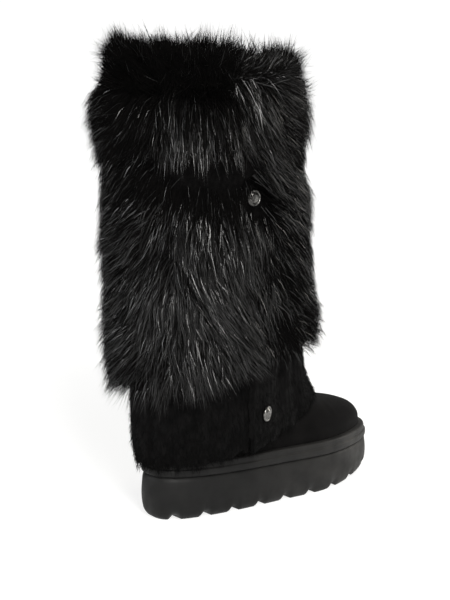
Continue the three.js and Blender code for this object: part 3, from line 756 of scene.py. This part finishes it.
# Shaft skin
# The wrapped shaft under the fur: a knitted backing that carries the hair, sewn to a black lining inside it.
# The backing is rolled in at the rim and dips to a bare place round the upper snap.
SHAFT_SECTIONS = {
    "z": (0.100, 0.160, 0.230, 0.320, 0.390, 0.438),
    "middle": (0.008, 0.006, 0.001, -0.004, -0.007, -0.011),
    "length": (0.090, 0.088, 0.082, 0.077, 0.074, 0.073),
    "width": (0.066, 0.066, 0.069, 0.070, 0.070, 0.070),
    "fur": (0.014, 0.016, 0.020, 0.022, 0.021, 0.016),
    "side_fur": (0.026, 0.028, 0.027, 0.025, 0.022, 0.016),
}
# Edges that lean round the shaft: middle height, swing, and the angle where they are highest.
HEM_EDGE = (0.141, 0.016, np.radians(320.0))
TOP_EDGE = (0.362, 0.026, np.radians(65.0))
RIM_EDGE = (0.431, 0.006, np.radians(139.0))
SKIN_DEPTH = 0.55
SKIN_ROWS = 48
SKIN_COLUMNS = 240
SKIN_HEM_GAP = 0.004
SKIN_RIM_GAP = 0.004
LINING_RIM_GAP = 0.006
LINING_STEP = 3
SNAP_ANGLE = np.radians(266.0)
SNAP_Z = 0.310
SNAP_SEAT = 0.003
BARE_RADIUS = 0.016
BARE_SLOPE = 0.010
BARE_DEPTH = 0.1
OTHER_SIDE = 10.0
RIM_ROLL = 0.016
ROLL_END = 0.97
BACKING_PATCHES = (300.0, 3.0, (0.0016, 0.0015, 0.0015), (0.0032, 0.0030, 0.0030))
BACKING_FUZZ = ((900.0, 4.0, 0.9, 0.0012),)
BACKING_FINISH = {"Roughness": 1.0, "Specular IOR Level": 0.015}


def leaning(edge, angle):
    """Height of an edge that leans round the shaft: its middle plus a swing that is greatest at one angle."""
    middle, swing, highest = edge
    return middle + swing * np.cos(angle - highest)


def shaft_surface(angle, z, depth):
    """The shaft at a share of the fur's depth: an ellipse that grows from the lining by the fur's depth."""
    at = sections(SHAFT_SECTIONS, "z", z)
    long = at["length"] + depth * at["fur"]
    wide = at["width"] + depth * at["side_fur"]
    return np.stack([LEG_X + at["middle"] + long * np.cos(angle), wide * np.sin(angle), z], axis=-1)


snap_facing = np.array([np.cos(SNAP_ANGLE), np.sin(SNAP_ANGLE), 0.0])
snap_seat = shaft_surface(SNAP_ANGLE, np.array(SNAP_Z), 0.0) + SNAP_SEAT * snap_facing


def near_snap(places):
    """Distance along the shaft's side from the upper snap, with places on the other side far off."""
    distance = np.hypot(places[..., 0] - snap_seat[0], places[..., 2] - snap_seat[2])
    return distance + OTHER_SIDE * (places[..., 1] > 0)


def rolled_surface(angle, z, share=1.0):
    """The shaft at a share of the skin's depth, rolled in to the lining at the rim as a quarter circle."""
    up = np.clip((z - leaning(RIM_EDGE, angle)) / RIM_ROLL + 1, 0.0, ROLL_END)
    return shaft_surface(angle, z, SKIN_DEPTH * share * np.sqrt(1 - up ** 2))


def skin_surface(angle, z):
    """The backing under the hair: the rolled surface, let down to the lining round the snap."""
    away = np.clip((near_snap(shaft_surface(angle, z, SKIN_DEPTH)) - BARE_RADIUS) / BARE_SLOPE, 0.0, 1.0)
    return rolled_surface(angle, z, between(BARE_DEPTH, 1.0, eased(away)))


skin_round = np.linspace(0.0, 2 * np.pi, SKIN_COLUMNS, endpoint=False)
skin_angle, skin_share = np.meshgrid(skin_round, np.linspace(0.0, 1.0, SKIN_ROWS))
skin_bottom, skin_top = leaning(HEM_EDGE, skin_angle) + SKIN_HEM_GAP, leaning(RIM_EDGE, skin_angle)
skin_outer = skin_surface(skin_angle, between(skin_bottom, skin_top - SKIN_RIM_GAP, skin_share))
skin_inner = shaft_surface(skin_angle, between(skin_bottom, skin_top - LINING_RIM_GAP, skin_share), 0.0)
skin_rings = np.concatenate([skin_outer, skin_inner[::-LINING_STEP]])
skin = put_tube("shaft_skin", skin_rings)
skin.data.materials.append(textured("fur_backing", BACKING_PATCHES, BACKING_FUZZ, BACKING_FINISH))
skin.data.materials.append(lining_cloth)
skin_row = np.arange(len(skin.data.polygons)) // SKIN_COLUMNS
skin_lined = (skin_row >= SKIN_ROWS - 1) & (skin_row < len(skin_rings) - 1)
skin.data.polygons.foreach_set("material_index", skin_lined.astype(np.int32))
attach(skin, "root")
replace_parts(skin, "fur_shaft")

# Fur of the lower tier
# Long glossy guard hairs over dull under hairs, in pointed locks rooted in the backing. The lower tier hangs
# to the hem and starts below the turned-down top. A slit on its outer side is the edge of the wrap.

# How all the fur lies, given at places on the shaft: angle in degrees, height, sideways sweep and lift
# of the hair in degrees, its length in metres and its gloss. Sweep is positive to the toe on the outer side.
FUR_LIE = np.array([
    # lower tier: back, fan of the outer back, placket, outer front, front and inner side
    (150, 0.22, -40, 38, 0.040, 0.5), (177, 0.155, -42, 40, 0.040, 0.45), (177, 0.20, -56, 42, 0.040, 0.5),
    (177, 0.27, -56, 44, 0.040, 0.5), (190, 0.30, -50, 42, 0.038, 0.35), (190, 0.18, -38, 38, 0.040, 0.55),
    (198, 0.26, -34, 38, 0.038, 0.5), (203, 0.20, -18, 36, 0.040, 0.7), (207, 0.165, -9, 34, 0.040, 0.65),
    (210, 0.29, -16, 36, 0.038, 0.5), (216, 0.23, 4, 34, 0.040, 0.9), (218, 0.19, 8, 34, 0.040, 1.0),
    (222, 0.28, 4, 34, 0.040, 1.0), (228, 0.245, 28, 32, 0.040, 1.0), (231, 0.17, 20, 32, 0.040, 1.0),
    (236, 0.22, 38, 30, 0.040, 1.0), (239, 0.155, 26, 30, 0.036, 0.9), (240, 0.26, 16, 30, 0.040, 1.0),
    (246, 0.28, 8, 28, 0.036, 1.0), (247, 0.20, 42, 28, 0.038, 1.0), (251, 0.165, 40, 26, 0.034, 0.9),
    (254, 0.25, 22, 24, 0.026, 0.9), (256, 0.20, 30, 22, 0.024, 0.7), (265, 0.27, 0, 20, 0.020, 0.6),
    (265, 0.22, 0, 18, 0.020, 0.9), (266, 0.16, 4, 18, 0.022, 0.7), (274, 0.25, 26, 20, 0.020, 0.15),
    (276, 0.19, 30, 24, 0.026, 0.0), (286, 0.27, 46, 32, 0.036, 0.2), (290, 0.24, 44, 32, 0.036, 0.2),
    (298, 0.20, 56, 34, 0.042, 0.25), (308, 0.19, 66, 40, 0.046, 0.3), (320, 0.17, 40, 38, 0.036, 0.5),
    (300, 0.31, 56, 38, 0.038, 0.4), (330, 0.25, 34, 38, 0.038, 0.7), (0, 0.25, 8, 38, 0.040, 0.8),
    (40, 0.22, 0, 38, 0.040, 0.8), (85, 0.22, -10, 36, 0.042, 0.8), (120, 0.25, -22, 36, 0.040, 0.7),
    # valley under the turned-down top
    (190, 0.335, -40, 36, 0.030, 0.05), (208, 0.33, -10, 26, 0.022, 0.0), (228, 0.318, 0, 22, 0.020, 0.0),
    (245, 0.318, 6, 20, 0.018, 0.0), (284, 0.325, 48, 32, 0.036, 0.7), (296, 0.352, 50, 24, 0.024, 0.0),
    # turned-down top
    (160, 0.39, -60, 56, 0.042, 0.3), (170, 0.39, -60, 54, 0.042, 0.2), (185, 0.38, -44, 46, 0.034, 0.0),
    (198, 0.375, -20, 38, 0.032, 0.0), (209, 0.375, 2, 36, 0.036, 0.5), (218, 0.375, 8, 34, 0.038, 0.95),
    (230, 0.375, 2, 32, 0.038, 0.9), (243, 0.37, 12, 30, 0.038, 0.8), (253, 0.42, 0, 26, 0.036, 0.7),
    (254, 0.36, 24, 28, 0.036, 0.65), (263, 0.41, 28, 28, 0.036, 0.7), (265, 0.38, 28, 28, 0.036, 0.6),
    (268, 0.35, 42, 28, 0.036, 0.65), (280, 0.38, 50, 30, 0.036, 0.45), (282, 0.42, 64, 32, 0.036, 0.55),
    (293, 0.425, 76, 36, 0.036, 0.3), (300, 0.38, 56, 34, 0.030, 0.0), (330, 0.38, 38, 42, 0.036, 0.6),
    (0, 0.38, 8, 42, 0.038, 0.7), (60, 0.40, 0, 40, 0.038, 0.8), (110, 0.40, -14, 40, 0.038, 0.7),
    (140, 0.40, -34, 44, 0.038, 0.5),
])
# Height in metres that counts as one radian when rows are averaged, and how softly they run together.
LIE_HEIGHT, LIE_SOFTNESS = 0.09, 0.006
# Locks and hairs: spread round the shaft and down it in metres, random shares of lifts, lengths, tones and
# widths, and random turns in radians and strays in metres.
GIRTH_Z, GIRTH_DEPTH, GIRTH_STEPS = 0.3, 0.6, 721
LOCK_SPREAD = np.array([0.0060, 0.0035])
LOCK_TURN, LOCK_LIFTS, LOCK_LENGTHS, LOCK_TONES = 0.09, (0.75, 1.1), (0.8, 1.15), (0.2, 1.0)
HAIR_LENGTHS, HAIR_LIFTS, HAIR_TONES, HAIR_WIDTHS = (0.62, 1.08), (0.65, 1.12), (0.3, 1.3), (0.6, 1.3)
HAIR_TURN, HAIR_STRAY, HAIR_TWIST = 0.05, 0.0008, 0.5
HAIR_SINK = 0.001
HAIR_STEPS = np.array([0.0, 0.5, 1.0])
HAIR_TAPER = np.array([0.9, 0.85, 0.0])
GUARD_WIDTH = 0.00046
UNDER_WIDTH = 0.00042
GUARD_SHARE = (0.015, 0.52)
GUARD_ROOT, GUARD_TIP = (0.0012, 0.0011, 0.0011), (0.0070, 0.0063, 0.0055)
GUARD_FINISH = {"Roughness": 0.30, "Specular IOR Level": 0.62}
UNDER_ROOT, UNDER_TIP = (0.0018, 0.0017, 0.0017), (0.0042, 0.0038, 0.0035)
UNDER_FINISH = {"Roughness": 0.9, "Specular IOR Level": 0.02}
FRAME_TURN, FRAME_RISE = 0.01, 0.002
# The tiers stand apart round one angle, within a half width in degrees, and run into each other elsewhere.
# The lower tier starts metres below the tiers' edge, elsewhere and there.
TIERS_APART = (236.0, 40.0)
LOWER_TIER_BARE = (-0.010, 0.014)
LOWER_LOCKS, LOWER_HAIRS = 3000, 40
LOWER_HEM_GAP = 0.016
LOWER_SNAP_MARGIN = 0.003
SLIT_ANGLE, SLIT_HALF, SLIT_FROM = 260.0, 2.6, 0.15
LOWER_PIECES = {"fur_lower_outer": (225, 360), "fur_lower_inner": (0, 115), "fur_lower_back": (115, 225)}
chance = np.random.default_rng(29)


def lie_of_fur(angle, z):
    """Sweep, lift, length and gloss at places on the shaft: the listed rows averaged by nearness, each with
    the weight 1 / (distance squared + softness) squared."""
    turn = np.angle(np.exp(1j * (angle[:, None] - np.radians(FUR_LIE[:, 0]))))
    weight = 1.0 / (turn ** 2 + ((z[:, None] - FUR_LIE[:, 1]) / LIE_HEIGHT) ** 2 + LIE_SOFTNESS) ** 2
    weight = weight / weight.sum(axis=1, keepdims=True)
    return tuple((weight @ FUR_LIE[:, 2:]).T)


def even_shaft_angles(count):
    """Random angles spread evenly along the shaft's girth."""
    fine = np.linspace(0.0, 2 * np.pi, GIRTH_STEPS)
    girth = shaft_surface(fine, np.full_like(fine, GIRTH_Z), GIRTH_DEPTH)
    return angles_along(girth, fine, chance.uniform(0.0, 1.0, count))


def surface_frame(surface, angle, across):
    """Place, outward normal, and the directions round and down a surface of an angle and a second value."""
    turn = unit(surface(angle + FRAME_TURN, across) - surface(angle - FRAME_TURN, across))
    rise = unit(surface(angle, across + FRAME_RISE) - surface(angle, across - FRAME_RISE))
    out = unit(np.cross(turn, rise))
    return surface(angle, across), out, turn, unit(np.cross(turn, out))


def fur_locks(place, angle, z, sweep, lift, length, gloss, per_lock, bend=(0.95, 0.15), pull=0.4):
    """Hairs in locks. A lock's axis leaves its place at its lift and lies down towards its tip, turned
    sideways by its sweep: bend is what is left of the lift in each half. Each hair starts beside the axis and
    closes on it by the lock's pull. Returns the hairs' paths, the way their flat sides face, their tones and
    which of them are guard hairs."""
    _, out, turn, down = surface_frame(rolled_surface, angle, z)
    locks = len(angle)
    sweep = np.radians(sweep) + chance.normal(0.0, LOCK_TURN, locks)
    lift = np.radians(lift) * chance.uniform(*LOCK_LIFTS, locks)
    length = length * chance.uniform(*LOCK_LENGTHS, locks)
    flat = down * np.cos(sweep)[:, None] + turn * np.sin(sweep)[:, None]
    which = np.repeat(np.arange(locks), per_lock)
    hairs = len(which)
    own_length = (length[which] * chance.uniform(*HAIR_LENGTHS, hairs))[:, None]
    own_lift = (lift[which] * chance.uniform(*HAIR_LIFTS, hairs))[:, None]
    own_way = unit(flat[which] + chance.normal(0.0, HAIR_TURN, (hairs, 1)) * np.cross(out, flat)[which])
    steep = own_lift * np.array(bend)
    root = np.zeros((hairs, 1))
    run, rise = (np.cumsum(np.hstack([root, 0.5 * part]), axis=1) for part in (np.cos(steep), np.sin(steep)))
    beside = chance.normal(0.0, LOCK_SPREAD, (hairs, 2))
    offset = beside[:, :1] * turn[which] + beside[:, 1:] * down[which]
    paths = (place - HAIR_SINK * out)[which][:, None] + offset[:, None] * (1 - pull * HAIR_STEPS)[:, None]
    paths = paths + (own_length * run)[..., None] * own_way[:, None]
    paths = paths + (own_length * rise)[..., None] * out[which][:, None]
    paths = paths + chance.normal(0.0, HAIR_STRAY, (hairs, 1, 3)) * (HAIR_STEPS ** 2)[:, None]
    facing = out[which] + chance.normal(0.0, HAIR_TWIST, (hairs, 3))
    tone = chance.uniform(*LOCK_TONES, locks)[which] * chance.uniform(*HAIR_TONES, hairs)
    guard = chance.uniform(0.0, 1.0, hairs) < between(*GUARD_SHARE, gloss[which])
    return paths, facing, np.clip(tone, 0.0, 1.0), guard


guard_hair = hair_black("guard_hair", GUARD_ROOT, GUARD_TIP, GUARD_FINISH)
under_hair = hair_black("under_hair", UNDER_ROOT, UNDER_TIP, UNDER_FINISH)


def put_fur(name, locks):
    """A piece of fur from locks of under hairs and guard hairs, with its materials and its ride."""
    paths, facing, tone, guard = locks
    width = np.where(guard, GUARD_WIDTH, UNDER_WIDTH) * chance.uniform(*HAIR_WIDTHS, len(paths))
    piece = put_hairs(name, paths, facing, width, HAIR_TAPER, tone, [under_hair, guard_hair], guard)
    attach(piece, "root")
    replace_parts(piece, "fur_shaft")


def clear_of_snap(angle, z, margin):
    """Which roots keep a margin from the bare place round the upper snap."""
    return near_snap(shaft_surface(angle, z, SKIN_DEPTH)) > BARE_RADIUS + margin


def apart(degrees, values):
    """A pair of values blended by how far the tiers stand apart at an angle."""
    return between(*values, hump(degrees, TIERS_APART))


lower_angle = even_shaft_angles(LOWER_LOCKS)
lower_degrees = np.degrees(lower_angle)
lower_from = leaning(HEM_EDGE, lower_angle) + LOWER_HEM_GAP
lower_to = leaning(TOP_EDGE, lower_angle) - apart(lower_degrees, LOWER_TIER_BARE)
lower_z = between(lower_from, lower_to, chance.uniform(0.0, 1.0, LOWER_LOCKS))
on_slit = (np.abs(lower_degrees - SLIT_ANGLE) < SLIT_HALF) & (lower_z > SLIT_FROM)
lower_kept = clear_of_snap(lower_angle, lower_z, LOWER_SNAP_MARGIN) & ~on_slit
for name, (start, end) in LOWER_PIECES.items():
    side = lower_kept & (lower_degrees >= start) & (lower_degrees < end)
    root_place = lower_angle[side], lower_z[side]
    put_fur(name, fur_locks(skin_surface(*root_place), *root_place, *lie_of_fur(*root_place), LOWER_HAIRS))

# Fur of the turned-down top
# The shaft's upper end is turned down, so its hair hangs over the lower tier as a second one. The front panel
# of the wrap laps over the back one on the outer side, with a gap along the lap.
TOP_LOCKS, TOP_HAIRS = 1200, 40
TOP_BEND = (0.95, 0.22)
TOP_TIER_HANG = (0.010, 0.030)
TOP_SNAP_MARGIN = 0.016
FRONT_PANEL = (251.0, 318.0)
PANEL_RIM_GAP, BACK_RIM_GAP = 0.006, 0.028
LAP_ANGLE, LAP_HALF = 249.5, 1.6
# Near the rim the hair turns from hanging down over standing out to standing up: metres below the rim, and
# the hair's rise over the level in degrees. Here it spreads by degrees and stands out up to a lift.
RIM_RISE = {
    "below": (0.0, 0.012, 0.022, 0.034, 0.050, 0.080),
    "rise": (86.0, 62.0, 32.0, 2.0, -26.0, -50.0),
}
TOP_SPREAD = 10.0
TOP_LIFT_MOST = 66.0
# The outer back is dull above a wavy height, which is further up at the tuft, and fades in over metres below
# it. Places have an angle and a half width in degrees.
TUFT = (217.0, 10.0)
OUTER_BACK = (205.0, 46.0)
FLAT_TOPPED = 4
DULL_FROM, DULL_AT_TUFT, DULL_FADE = 0.410, 0.018, 0.045
DULL_WAVES = ((0.006, 13, 0), (0.004, 31, 0))


def standing(angle, z, spread):
    """Sweep and lift that give hair the rise of its place below the rim, measured from the skin's own tilt,
    with a random spread in degrees."""
    below = leaning(RIM_EDGE, angle) - z
    tilt = np.degrees(np.arcsin(np.clip(1 - below / RIM_ROLL, 0.0, ROLL_END)))
    over = column(RIM_RISE, "below", "rise", below) - tilt + chance.normal(0.0, spread, len(angle))
    return np.where(over > 0, 180.0, 0.0), 90 - np.abs(over)


def on_front_panel(degrees):
    """Which places lie on the front panel of the wrap."""
    return (degrees > FRONT_PANEL[0]) & (degrees < FRONT_PANEL[1])


top_angle = even_shaft_angles(TOP_LOCKS)
top_degrees = np.degrees(top_angle)
top_from = leaning(TOP_EDGE, top_angle) + apart(top_degrees, TOP_TIER_HANG)
top_to = leaning(RIM_EDGE, top_angle) - np.where(on_front_panel(top_degrees), PANEL_RIM_GAP, BACK_RIM_GAP)
top_z = between(top_from, top_to, chance.uniform(0.0, 1.0, TOP_LOCKS))
top_kept = clear_of_snap(top_angle, top_z, TOP_SNAP_MARGIN) & (np.abs(top_degrees - LAP_ANGLE) > LAP_HALF)
top_angle, top_degrees, top_z = top_angle[top_kept], top_degrees[top_kept], top_z[top_kept]
top_panel = on_front_panel(top_degrees)
top_sweep, top_lift, top_length, top_gloss = lie_of_fur(top_angle, top_z)
top_standing = np.minimum(standing(top_angle, top_z, TOP_SPREAD)[1], TOP_LIFT_MOST)
top_lift = np.where(top_panel, top_lift, np.maximum(top_lift, top_standing))
dull_from = DULL_FROM + DULL_AT_TUFT * hump(top_degrees, TUFT) + waves(top_angle, *DULL_WAVES)
dull = np.clip(1 - (dull_from - top_z) / DULL_FADE, 0.0, 1.0) * hump(top_degrees, OUTER_BACK, FLAT_TOPPED)
top_gloss = top_gloss * np.where(top_panel, 1.0, 1 - dull)
put_fur("fur_turned_top", fur_locks(skin_surface(top_angle, top_z), top_angle, top_z, top_sweep, top_lift,
                                    top_length, top_gloss, TOP_HAIRS, TOP_BEND))

# Fur of the rim and the mouth
# Round the rim duller hair stands up and out in spiky tufts, where the turned-down edge parts it. A little of
# it lines the mouth inside. On the front panel the rim's hair is short and swept forward.
RIM_LOCKS, RIM_HAIRS = 1900, 28
RIM_BEND, RIM_PULL = (1.0, 0.85), 0.6
# Roots reach down from the rim in waves, less at the tuft, and crowd at the rim. All in metres.
RIM_REACH, RIM_REACH_LESS, PANEL_REACH = 0.044, 0.018, 0.010
RIM_WAVES = ((0.008, 13, 0), (0.006, 31, 1))
RIM_CROWDING = (0.75, 1.25)
RIM_SINK = 0.001
# Random spread of the rise, sweep and lift in degrees, and the front panel's own sweep and lift.
RIM_SPREAD, RIM_SWEEPS, RIM_LIFTS, RIM_LIFT_MOST = 18.0, 30.0, 7.0, 90.0
PANEL_SWEEP, PANEL_LIFT = 115.0, 56.0
# Hair is longer further down, and shorter at the back and the inner side, more so further down. The topmost
# hair has some longer spikes.
RIM_LENGTH, RIM_GROWTH, PANEL_LENGTH = 0.025, 0.06, 0.016
RIM_LESS, RIM_LESS_FROM, RIM_LESS_FADE = 0.006, -0.006, 0.018
RIM_LENGTHS = (0.4, 1.25)
SPIKE_MORE, SPIKE_REACH = 0.4, 0.008
RIM_GLOSS, PANEL_GLOSS = 0.16, 0.45
RIM_DULL = (192.0, 62.0)
TUFT_GLOSS, GLOSSY_TUFT = 4.0, (217.0, 12.0)
rim_angle = even_shaft_angles(RIM_LOCKS)
rim_degrees = np.degrees(rim_angle)
rim_panel = on_front_panel(rim_degrees)
rim_reach = RIM_REACH + waves(rim_angle, *RIM_WAVES) - RIM_REACH_LESS * hump(rim_degrees, TUFT)
rim_below = np.where(rim_panel, PANEL_REACH, rim_reach) * chance.beta(*RIM_CROWDING, RIM_LOCKS)
rim_z = leaning(RIM_EDGE, rim_angle) - RIM_SINK - rim_below
rim_sweep, rim_lift = standing(rim_angle, rim_z, RIM_SPREAD)
rim_sweep = np.where(rim_panel, PANEL_SWEEP, rim_sweep) + chance.normal(0.0, RIM_SWEEPS, RIM_LOCKS)
rim_lift = np.where(rim_panel, PANEL_LIFT, rim_lift) + chance.normal(0.0, RIM_LIFTS, RIM_LOCKS)
rim_lift = np.minimum(rim_lift, RIM_LIFT_MOST)
rim_less = RIM_LESS * (np.maximum(np.sin(rim_angle), 0.0) + np.maximum(-np.cos(rim_angle), 0.0))
rim_less = rim_less * np.clip((rim_below - RIM_LESS_FROM) / RIM_LESS_FADE, 0.0, 1.0)
rim_length = np.where(rim_panel, PANEL_LENGTH, RIM_LENGTH + RIM_GROWTH * rim_below - rim_less)
rim_length = rim_length * chance.uniform(*RIM_LENGTHS, RIM_LOCKS)
rim_spikes = SPIKE_MORE * chance.uniform(0.0, 1.0, RIM_LOCKS) * (rim_below < SPIKE_REACH)
rim_length = rim_length * (1 + rim_spikes)
rim_gloss = RIM_GLOSS * (1 - hump(rim_degrees, RIM_DULL, FLAT_TOPPED))
rim_gloss = rim_gloss + TUFT_GLOSS * rim_below * hump(rim_degrees, GLOSSY_TUFT)
rim_gloss = np.where(rim_panel, PANEL_GLOSS, rim_gloss)
put_fur("fur_rim", fur_locks(skin_surface(rim_angle, rim_z), rim_angle, rim_z, rim_sweep, rim_lift,
                             rim_length, rim_gloss, RIM_HAIRS, RIM_BEND, RIM_PULL))

# Inside the mouth all hair has one lie: sweep and lift in degrees, length in metres and gloss.
MOUTH_LOCKS, MOUTH_HAIRS = 500, 24
MOUTH_DEPTHS = (0.004, 0.024)
MOUTH_LIE = np.array([180.0, -22.0, 0.018, 0.3])
MOUTH_BEND = (1.0, 0.6)
mouth_angle = even_shaft_angles(MOUTH_LOCKS)
mouth_z = leaning(RIM_EDGE, mouth_angle) - chance.uniform(*MOUTH_DEPTHS, MOUTH_LOCKS)
mouth_place = shaft_surface(mouth_angle, mouth_z, 0.0)
mouth_lie = np.tile(MOUTH_LIE[:, None], MOUTH_LOCKS)
put_fur("fur_mouth", fur_locks(mouth_place, mouth_angle, mouth_z, *mouth_lie, MOUTH_HAIRS, MOUTH_BEND))

# Snaps
# Two plain domed press caps of aged pewter. The upper one sits on the shaft in the bare place in the fur, the
# lower one on the cuff's lapped edge, turned a little to the front.
SNAP_RADIUS = 0.0075
SNAP_HEIGHT = 0.004
SNAP_PROFILE = {
    "run": (0.0, 0.1, 0.2, 0.3, 0.4, 0.5, 0.58, 0.66, 0.8, 1.0),
    "radius": (0.0, 0.6, 0.9, 0.99, 1.0, 0.95, 0.86, 0.78, 0.5, 0.0),
    "height": (0.0, 0.0, 0.02, 0.14, 0.34, 0.53, 0.56, 0.50, 0.86, 1.0),
}
SNAP_ROWS = 42
SNAP_SIDES = 64
LOWER_SNAP_ANGLE = np.radians(270.0)
LOWER_SNAP_LEVEL = 0.42
LOWER_SNAP_PROUD = 0.0014
LOWER_SNAP_LEAN = (1.0, 1.0, 0.2)
LOWER_SNAP_TURN = (0.25, 0.0, 0.0)
PEWTER_TARNISH = (420.0, 5.0, (0.09, 0.088, 0.084), (0.20, 0.196, 0.186))
PEWTER_RUB = (700.0, 4.0, (0.18, 0.18, 0.18), (0.45, 0.45, 0.45))
PEWTER_DENTS = ((520.0, 3.0, 0.2, 0.0005),)
aged_pewter = textured("aged_pewter", PEWTER_TARNISH, PEWTER_DENTS, {"Metallic": 1.0}, PEWTER_RUB)


def snap_cap(name, seat, facing):
    """A turned cap: its half section carried round the line that it faces along."""
    right, up, _ = looking_frame(facing)
    run = np.linspace(0.0, 1.0, SNAP_ROWS)[1:-1]
    radius = SNAP_RADIUS * np.clip(column(SNAP_PROFILE, "run", "radius", run), 0.0, 1.0)
    height = SNAP_HEIGHT * np.clip(column(SNAP_PROFILE, "run", "height", run), 0.0, 1.0)
    turn = np.linspace(0.0, 2 * np.pi, SNAP_SIDES, endpoint=False)
    ring = np.cos(turn)[:, None] * right + np.sin(turn)[:, None] * up
    body = radius[:, None, None] * ring + height[:, None, None] * facing
    points = np.concatenate([body.reshape(-1, 3), np.zeros((1, 3)), [SNAP_HEIGHT * facing]])
    rings = ring_index(len(run), SNAP_SIDES)
    poles = np.full((2, SNAP_SIDES + 1), [[len(points) - 2], [len(points) - 1]])
    index = np.vstack([poles[:1], rings, poles[1:]])
    piece = put_mesh(name, seat + CLEARANCE * facing + points, *grid_faces(index))
    piece.data.materials.append(aged_pewter)
    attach(piece, "root")
    return piece


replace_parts(snap_cap("snap_upper_cap", snap_seat, snap_facing), "snap_upper")
cuff_seat, cuff_facing, _, _ = surface_frame(
    cuff_surface, np.array([LOWER_SNAP_ANGLE]), np.array([LOWER_SNAP_LEVEL]))
lower_seat = cuff_seat[0] + LOWER_SNAP_PROUD * cuff_facing[0]
lower_facing = unit(cuff_facing[0] * LOWER_SNAP_LEAN + LOWER_SNAP_TURN)
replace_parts(snap_cap("snap_lower_cap", lower_seat, lower_facing), "snap_lower")
